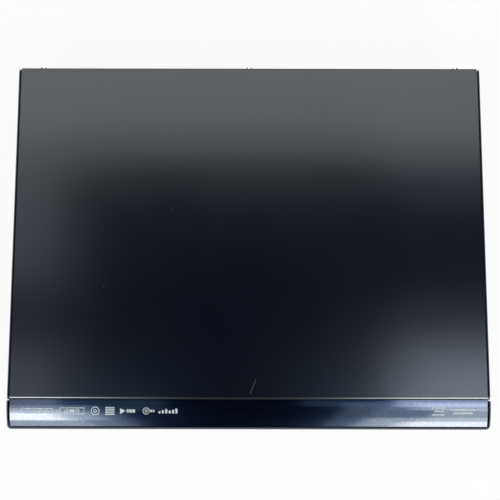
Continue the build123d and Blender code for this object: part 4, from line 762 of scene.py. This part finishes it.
def add_can(form, place, radius, height):
    """An upright can with an eased rim."""
    core, rim = 0.02 * MM, 0.3 * MM
    outline = ((core, 0), (radius, 0), (radius, height - rim), (radius - rim, height), (core, height))
    add_turned(form, outline, place, (0, 0, 1), steps=20)


def surface_of(node):
    """The surface of a solid, for finding where a line meets it."""
    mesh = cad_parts[node].data
    corners = [corner.co for corner in mesh.vertices]
    return BVHTree.FromPolygons(corners, [face.vertices for face in mesh.polygons])


class FlatMark:
    """Flat shapes drawn in millimetres on one plane, then raised into one thin piece."""

    def __init__(self, details):
        self.form = bmesh.new()
        self.line = details.print_line / MM

    def outline(self, points):
        self.form.faces.new([self.form.verts.new((x * MM, y * MM, 0)) for x, y in points])

    def bar(self, left, low, right, high):
        self.outline([(left, low), (right, low), (right, high), (left, high)])

    def dashes(self, left, low, lengths, height):
        """A row of bars, one line's width apart."""
        for length in lengths:
            self.bar(left, low, left + length, low + height)
            left += length + self.line

    def border(self, x, y, half_width, half_height):
        """Four bars round a rectangle, the upright ones between the level ones."""
        inner_width, inner_height = half_width - self.line, half_height - self.line
        for low, high in ((-half_height, -inner_height), (inner_height, half_height)):
            self.bar(x - half_width, y + low, x + half_width, y + high)
        for left, right in ((-half_width, -inner_width), (inner_width, half_width)):
            self.bar(x + left, y - inner_height, x + right, y + inner_height)

    def ring(self, x, y, inner, outer, start=0, end=360):
        """A ring, or the part of one between two angles in degrees."""
        centre = Vector((x, y, 0)) * MM
        first = Vector((math.cos(math.radians(start)), math.sin(math.radians(start)), 0)) * MM
        ends = [self.form.verts.new(centre + first * radius) for radius in (inner, outer)]
        bmesh.ops.spin(
            self.form, geom=[*ends, self.form.edges.new(ends)], cent=centre, axis=(0, 0, 1),
            angle=math.radians(end - start), steps=36, use_merge=end - start == 360,
        )

    def disc(self, x, y, radius):
        place = Matrix.Translation((x * MM, y * MM, 0))
        bmesh.ops.create_circle(self.form, cap_ends=True, segments=32, radius=radius * MM, matrix=place)

    def drape(self, surface, above, rise):
        """Lays the shapes on a curved surface below them, cut into short steps along Y."""
        step = 1.0 * MM
        heights = [corner.co.y for corner in self.form.verts]
        for place in range(int(min(heights) / step), int(max(heights) / step) + 1):
            bmesh.ops.bisect_plane(
                self.form, geom=self.form.verts[:] + self.form.edges[:] + self.form.faces[:],
                plane_co=(0, place * step, 0), plane_no=(0, 1, 0),
            )
        for corner in self.form.verts:
            corner.co.z = surface.ray_cast((corner.co.x, corner.co.y, above), (0, 0, -1))[0].z + rise

    def raised(self, rise, place=Matrix()):
        """The shapes with a thickness, moved to their place."""
        bmesh.ops.remove_doubles(self.form, verts=self.form.verts, dist=MERGE_GAP)
        grown = bmesh.ops.extrude_face_region(self.form, geom=self.form.faces[:])
        moved = [part for part in grown["geom"] if isinstance(part, bmesh.types.BMVert)]
        bmesh.ops.translate(self.form, verts=moved, vec=(0, 0, rise))
        bmesh.ops.transform(self.form, matrix=place, verts=self.form.verts)
        return self.form


def facing_front(x, y, z):
    """Stands a flat mark upright, facing the front."""
    return Matrix.Translation((x, y, z)) @ Matrix.Rotation(math.radians(90), 4, "X")


def play_mark(mark):
    mark.outline([(-1.5, -1.8), (1.9, 0.0), (-1.5, 1.8)])


def stop_mark(mark):
    mark.bar(-1.6, -1.6, 1.6, 1.6)


def record_mark(mark):
    mark.disc(0, 0, 1.7)


def eject_mark(mark):
    mark.outline([(-1.9, -0.3), (1.9, -0.3), (0.0, 1.7)])
    mark.bar(-1.9, -1.6, 1.9, -0.9)


def power_mark(mark):
    mark.ring(0, 0, 2.3, 2.9, 125, 415)
    mark.bar(-0.3, 0.7, 0.3, 3.3)


KEY_MARKS = {
    "play_button": play_mark,
    "stop_button": stop_mark,
    "record_button": record_mark,
    "disc_open_button": eject_mark,
    "cassette_eject_button": eject_mark,
    "power_button": power_mark,
}


def add_key_marks(colours, details):
    """A raised mark on each key."""
    ink = moulded("key_mark", colours.ink, roughness=0.4)
    for key, draw in KEY_MARKS.items():
        middle = middle_of(key)
        mark = FlatMark(details)
        draw(mark)
        place = facing_front(middle.x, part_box(key)[0].y + details.mark_rise, middle.z)
        form = mark.raised(2 * details.mark_rise, place)
        new_piece(key.replace("button", "mark"), form, key, ink)


def strip_print(mark, x, y):
    """A strip divided into five."""
    half_width, parts = 14.0, 5
    mark.border(x, y, half_width, 2.4)
    for place in range(1, parts):
        left = x - half_width + 2 * half_width / parts * place
        mark.bar(left, y - 1.4, left + mark.line, y + 1.4)


def cassette_print(mark, x, y):
    """A cassette with two reels and a window."""
    mark.border(x, y, 11.0, 2.9)
    for side in (-4.8, 4.8):
        mark.ring(x + side, y, 1.0, 1.7)
    mark.bar(x - 2.2, y - 1.2, x + 2.2, y + 1.2)


def disc_print(mark, x, y):
    """A disc's hole and edge."""
    mark.ring(x, y, 0.9, 1.6)
    mark.ring(x, y, 3.1, 3.8)


def lines_print(mark, x, y):
    """Five level lines."""
    for place in range(5):
        low = y - 3.5 + 1.5 * place
        mark.bar(x - 4.1, low, x + 4.1, low + 0.9)


def arrow_print(mark, x, y):
    """A play arrow before three bars."""
    mark.outline([(x - 6.5, y - 2.4), (x - 1.5, y), (x - 6.5, y + 2.4)])
    mark.dashes(x - 0.6, y - 1.4, (1.6, 2.2, 2.2), 2.8)


def dial_print(mark, x, y):
    """Two rings before two bars."""
    mark.ring(x, y, 0.72, 1.28)
    mark.ring(x, y, 2.48, 3.04)
    mark.dashes(x + 3.8, y - 1.1, (1.4, 1.4), 2.2)


def level_print(mark, x, y):
    """A row of level bars."""
    low = y - 2.1
    for place, height in enumerate((1.8, 2.8, 3.8, 2.4, 3.2, 4.2)):
        left = x - 8.6 + 3.0 * place
        mark.bar(left, low, left + 1.8, low + height)


def small_print(mark, x, y):
    """Three short rows of dashes, the middle one set in."""
    for place, lengths in enumerate(((2.6, 4.2, 3.2), (5.2, 2.4), (3.4, 2.2, 4.0))):
        mark.dashes(x + 2 * (place % 2), y + 2.2 - 2.9 * place, lengths, 1.3)


def broad_print(mark, x, y):
    """Two longer rows of dashes."""
    for place, lengths in enumerate(((3.2, 2.0, 4.4, 2.6, 5.0), (4.6, 3.4, 2.2, 4.8))):
        mark.dashes(x, y + 0.6 - 2.9 * place, lengths, 1.5)


# Millimetres from the bezel's left end to each mark, and from its right end
LEFT_PRINT = {
    strip_print: 28.0,
    cassette_print: 59.0,
    disc_print: 79.5,
    lines_print: 92.5,
    arrow_print: 108.0,
    dial_print: 124.5,
    level_print: 144.0,
}
RIGHT_PRINT = {small_print: 53.0, broad_print: 34.0}


def add_front_print(colours, details):
    """Plain printed marks along the crown of the bezel, left and right."""
    low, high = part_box("front_bezel")
    row = (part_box("top_cover")[0].y - details.print_set_back) / MM
    mark = FlatMark(details)
    for draw, place in LEFT_PRINT.items():
        draw(mark, low.x / MM + place, row)
    for draw, place in RIGHT_PRINT.items():
        draw(mark, high.x / MM - place, row)
    mark.drape(surface_of("front_bezel"), high.z + MM, details.print_rise)
    form = mark.raised(-2 * details.print_rise)
    ink = moulded("front_ink", colours.ink, roughness=0.5)
    new_piece("front_print", form, "chassis", ink)


def add_display_digits(colours, details):
    """Unlit segments on the face of the display."""
    middle = middle_of("display_module")
    half = details.digit_height / 2 / MM
    width, line, pitch = half * 0.55, half * 0.11, half * 2.1
    gap = 1.5 * line
    mark = FlatMark(details)
    for digit in range(details.digits):
        x = (digit - (details.digits - 1) / 2) * pitch
        for z in (-half, 0, half):
            mark.bar(x - width + gap, z - line, x + width - gap, z + line)
        for side in (-width, width):
            for z in (-half, 0):
                mark.bar(x + side - line, z + gap, x + side + line, z + half - gap)
    place = facing_front(middle.x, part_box("display_module")[0].y, middle.z)
    form = mark.raised(details.print_rise, place)
    segment = moulded("unlit_segment", colours.segment, roughness=0.3)
    new_piece("display_digits", form, "chassis", segment)


def add_socket_rings(details):
    """A coloured ring round each rear and front jack."""
    front_low, front_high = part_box("front_av_sockets")
    rear_middle, front_middle = middle_of("rear_av_sockets"), middle_of("front_av_sockets")
    rear_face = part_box("rear_panel")[1].y
    reach = (front_high.x - front_low.x) / 2 - details.jack_radius
    # The wall that carries the front jacks is met between two of them
    wall_ray = (front_middle.x - reach / 2, front_low.y - MM, front_middle.z)
    front_face = surface_of("front_bezel").ray_cast(wall_ray, (0, 1, 0))[0].y
    inner, height = details.jack_radius + 0.1 * MM, details.socket_ring / 3
    outer = inner + details.socket_ring
    outline = ((inner, 0), (outer, 0), (outer, height * 0.6), (outer - height * 0.4, height), (inner, height))
    rings = {"yellow": (0.62, 0.36, 0.01), "white": (0.66, 0.65, 0.62), "red": (0.42, 0.012, 0.01)}
    for place, (name, colour) in zip((-1, 0, 1), rings.items()):
        form = bmesh.new()
        for row in (-0.5, 0.5):
            x, z = rear_middle.x + place * details.jack_column, rear_middle.z + row * details.jack_row
            add_turned(form, outline, (x, rear_face, z), (0, 1, 0))
        add_turned(form, outline, (front_middle.x + place * reach, front_face, front_middle.z), (0, -1, 0))
        finish = moulded(f"{name}_ring", colour, roughness=0.35)
        new_piece(f"{name}_socket_rings", form, "chassis", finish)


def add_aerial_threads(details, finish):
    """Screw threads on the two aerial sockets."""
    middle = middle_of("tuner_module")
    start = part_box("rear_panel")[1].y + details.aerial_nut
    turns = int((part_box("tuner_module")[1].y - start) / details.thread_pitch) - 1
    root, end = details.aerial_radius, (turns + 0.5) * details.thread_pitch
    inside, crest = root - details.thread_rise, root + details.thread_rise
    outline = [(inside, 0)]
    for turn in range(turns):
        at = (turn + 0.5) * details.thread_pitch
        outline += [(root, at), (crest, at + details.thread_pitch / 2)]
    outline += [(root, end), (inside, end)]
    form = bmesh.new()
    for side in (-0.5, 0.5):
        add_turned(form, outline, (middle.x + side * details.aerial_pitch, start, middle.z), (0, 1, 0))
    new_piece("aerial_threads", form, "chassis", finish)


def add_contacts(colours):
    """Gold contacts inside the network, picture and data sockets."""
    # Count, then in millimetres: pitch, width, nearest and furthest reach inside, and height
    sockets = {
        "lan_socket": (8, 1.02, 0.45, (4.0, 12.5), 10.2),
        "hdmi_socket": (9, 1.0, 0.45, (2.2, 8.0), 3.92),
        "usb_socket": (4, 2.4, 1.1, (1.2, 5.5), 3.44),
    }
    thickness, edge = 0.12 * MM, 0.03 * MM
    form = bmesh.new()
    for name, (count, pitch, width, (near, far), height) in sockets.items():
        low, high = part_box(name)
        faces_front = name == "usb_socket"
        first = low.y + near * MM if faces_front else high.y - far * MM
        size = (width * MM, (far - near) * MM, thickness)
        for place in range(count):
            x = (low.x + high.x) / 2 + (place - (count - 1) / 2) * pitch * MM
            add_standing_block(form, Vector((x, first + size[1] / 2, low.z + height * MM)), size, edge)
    finish = plated("gold_contact", colours.brass, roughness=0.22)
    new_piece("socket_contacts", form, "chassis", finish)


def add_label_plate(colours, details):
    """A blank plate on the rear panel."""
    width, height, thickness, edge = 70 * MM, 24 * MM, 0.4 * MM, 0.15 * MM
    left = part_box("rear_av_sockets")[0].x - 8 * MM
    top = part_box("rear_panel")[1].z - 12 * MM
    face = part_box("rear_panel")[1].y
    form = bmesh.new()
    add_block(
        form, (left, face - details.print_rise, top - height), (left + width, face + thickness, top), edge
    )
    new_piece("blank_plate", form, "chassis", zinc_sheet("plate_metal", colours, level=0.8))


def add_board_parts(colours, details):
    """Small components on the main board, clear of the flat cable's plug."""
    low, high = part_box("main_board")
    cable_x, cable_y = middle_of("drive_flat_cable").x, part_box("drive_flat_cable")[0].y
    step, rows, first_row = 9 * MM, 14, -18 * MM
    columns, first_column = int((high.x - low.x - 12 * MM) / step), low.x + 8 * MM
    plug_depth, plug_height, can_radius = 3.2 * MM, 4 * MM, 2.4 * MM
    draw = random.Random(details.board_draw)
    forms = {kind: bmesh.new() for kind in ("chip", "can", "plug")}
    for across in range(columns):
        for along in range(rows):
            place = Vector((first_column + across * step, first_row + along * step, high.z))
            kind = draw.choice(("chip", "chip", "can", "plug", "none", "none"))
            wide, deep, tall = [draw.uniform(*span) * MM for span in ((2, 6), (1.5, 6), (0.8, 2.2))]
            at_cable = abs(place.x - cable_x) < 19 * MM and abs(place.y - cable_y) < 9 * MM
            if kind == "none" or at_cable:
                continue
            if kind == "can":
                add_can(forms[kind], place, can_radius, draw.uniform(4, 7) * MM)
            elif kind == "plug":
                add_standing_block(forms[kind], place, (wide, plug_depth, plug_height), 0.3 * MM)
            else:
                add_standing_block(forms[kind], place, (wide, deep, tall), 0.12 * MM)
    looks = {
        "chip": ("component_plastic", moulded("chip_body", colours.moulding, roughness=0.5)),
        "can": ("machined_aluminium", plated("can_metal", colours.aluminium, roughness=0.3)),
        "plug": ("pale_plastic", moulded("plug_body", colours.pale)),
    }
    for kind, (slot, finish) in looks.items():
        new_piece(f"board_{kind}s", forms[kind], "chassis", finish)


def set_floor():
    """A plain pale floor that looks white and keeps a soft shadow."""
    reach, pale, white_share = 6.0, 0.85, 0.91
    made = Finish("floor_white", roughness=0.9, base_color=[pale] * 3)
    white = made.node("ShaderNodeEmission", None, {"Color": (1, 1, 1), "Strength": 1.0})
    painted = Channel(made.tree, made.shader.outputs[0])
    surface = made.node(
        "ShaderNodeMixShader", None, {0: backdrop_rays(made) * white_share, 1: painted, 2: white}
    )
    feed(made.tree, made.tree.nodes["Material Output"].inputs["Surface"], surface)
    form = bmesh.new()
    bmesh.ops.create_grid(form, x_segments=1, y_segments=1, size=reach)
    floor = new_object("floor", form, made)


def backdrop_rays(maker):
    """1 for the rays that see the backdrop: from the camera, in gloss and through clear parts."""
    path = maker.node("ShaderNodeLightPath", out="Is Camera Ray")
    outputs = path.socket.node.outputs
    glossy = Channel(maker.tree, outputs["Is Glossy Ray"])
    clear = Channel(maker.tree, outputs["Is Transmission Ray"])
    return path.greater(glossy).greater(clear)


def set_world(scene):
    """White for the camera. For the object, white near the horizon and dark overhead."""
    world = bpy.data.worlds.new("studio")
    world.use_nodes = True
    scene.world = world
    maker = NodeMaker(world.node_tree)
    camera = maker.node("ShaderNodeLightPath", out="Is Camera Ray")
    direction = maker.node("ShaderNodeTexCoord", out="Generated")
    height = maker.node("ShaderNodeSeparateXYZ", None, {"Vector": direction}, "Z")
    horizon, overhead, darkening = 0.05, 0.4, 0.99
    room = 1.0 - height.ramp(horizon, overhead) * darkening
    background = world.node_tree.nodes["Background"]
    feed(world.node_tree, background.inputs["Strength"], camera.greater(room))
    feed(world.node_tree, background.inputs["Color"], (1.0, 1.0, 1.0))


def set_panels(settings):
    """Soft panels behind, to both sides and in front, with the middle overhead left dark."""
    # Where each panel runs across and along, in metres, then its level and its colour
    panels = {
        "back_panel": ((-0.9, 0.9), (0.465, 1.25), 3.2, (0.95, 1.0, 1.03)),
        "back_right_panel": ((0.36, 0.7), (0.43, 0.465), 2.4, (0.84, 0.98, 1.2)),
        "left_panel": ((-0.9, -0.5), (-0.95, -0.06), 1.6, (0.9, 0.97, 1.12)),
        "left_back_panel": ((-0.9, -0.5), (0.1, 0.465), 1.5, (0.92, 0.97, 1.08)),
        "left_faint_panel": ((-0.6, -0.225), (-0.75, -0.15), 0.38, (0.5, 0.9, 1.3)),
        "left_side_panel": ((-1.0, -0.42), (-2.5, -0.42), 1.6, (0.75, 0.95, 0.98)),
        "left_front_panel": ((-1.0, -0.365), (-2.5, -0.85), 1.15, (0.7, 0.92, 1.08)),
        "left_glow": ((-1.0, -0.53), (-2.05, -0.6), 2.9, (0.96, 1.0, 0.82)),
        "left_edge_panel": ((-1.0, -0.45), (-1.42, -0.74), 2.6, (0.97, 1.0, 0.86)),
        "left_lamp": ((-1.0, -0.57), (-1.47, -0.92), 8.2, (1.04, 0.97, 0.82)),
        "right_faint_panel": ((0.15, 0.42), (-0.46, -0.15), 0.36, (0.5, 0.9, 1.3)),
        "right_panel": ((0.4, 0.9), (-0.5, -0.07), 5.0, (0.84, 0.95, 1.12)),
        "right_strip": ((0.46, 0.85), (-0.7, -0.34), 3.8, (0.98, 1.0, 0.97)),
        "right_side_panel": ((0.36, 1.0), (-2.5, -0.5), 1.25, (0.75, 0.95, 0.98)),
        "right_front_panel": ((0.262, 1.0), (-2.5, -0.34), 1.0, (0.7, 0.92, 1.08)),
        "right_glow": ((0.55, 1.1), (-2.7, -0.62), 3.2, (0.96, 1.0, 0.82)),
        "right_edge_panel": ((0.38, 1.1), (-2.7, -1.25), 3.0, (0.97, 1.0, 0.86)),
        "right_lamp": ((0.52, 1.1), (-2.7, -1.6), 6.5, (1.06, 0.97, 0.8)),
    }
    # Each panel hangs a little above the one before, so that overlapping panels add up
    for step, (name, (across, along, level, colour)) in enumerate(panels.items()):
        lamp = bpy.data.lights.new(name, "AREA")
        lamp.shape = "RECTANGLE"
        lamp.size = across[1] - across[0]
        lamp.size_y = along[1] - along[0]
        lamp.energy = settings.panel_level * level * math.pi * lamp.size * lamp.size_y
        lamp.color = colour
        holder = bpy.data.objects.new(name, lamp)
        height = settings.panel_height + step * settings.panel_step
        holder.location = (sum(across) / 2, sum(along) / 2, height)
        bpy.context.scene.collection.objects.link(holder)


def set_camera(scene, settings):
    """The photograph's view."""
    data = bpy.data.cameras.new("photo_view")
    data.lens = settings.lens
    data.sensor_width = 36.0
    data.clip_start = 0.01
    camera = bpy.data.objects.new("photo_view", data)
    camera.matrix_world = (
        Matrix.Translation(settings.camera_place)
        @ Matrix.Rotation(settings.camera_tilt, 4, "X")
        @ Matrix.Rotation(settings.camera_roll, 4, "Z")
    )
    scene.collection.objects.link(camera)
    scene.camera = camera


class RECORDER_PT_panel(bpy.types.Panel):
    """Steps of the recorder's finish"""

    bl_idname = "RECORDER_PT_panel"
    bl_label = "Recorder"
    bl_space_type = "VIEW_3D"
    bl_region_type = "UI"
    bl_category = "Recorder"

    def draw(self, context):
        for step in STEPS:
            self.layout.operator(step.bl_idname)


STEPS = (
    RECORDER_OT_casing, RECORDER_OT_front, RECORDER_OT_keys, RECORDER_OT_display, RECORDER_OT_sockets,
    RECORDER_OT_boards, RECORDER_OT_disc_drive, RECORDER_OT_cassette_deck, RECORDER_OT_stage,
)
CLASSES = (FinishSettings, DetailSettings, StageSettings, *STEPS, RECORDER_PT_panel)


def register():
    for made in CLASSES:
        bpy.utils.register_class(made)
    bpy.types.Scene.recorder_finish = PointerProperty(type=FinishSettings)
    bpy.types.Scene.recorder_detail = PointerProperty(type=DetailSettings)
    bpy.types.Scene.recorder_stage = PointerProperty(type=StageSettings)


def unregister():
    del bpy.types.Scene.recorder_stage
    del bpy.types.Scene.recorder_detail
    del bpy.types.Scene.recorder_finish
    for made in reversed(CLASSES):
        bpy.utils.unregister_class(made)


def main():
    register()
    bpy.ops.recorder.casing()
    bpy.ops.recorder.front()
    bpy.ops.recorder.keys()
    bpy.ops.recorder.display()
    bpy.ops.recorder.sockets()
    bpy.ops.recorder.boards()
    bpy.ops.recorder.disc_drive()
    bpy.ops.recorder.cassette_deck()
    bpy.ops.recorder.stage()


if __name__ == "__main__":
    main()
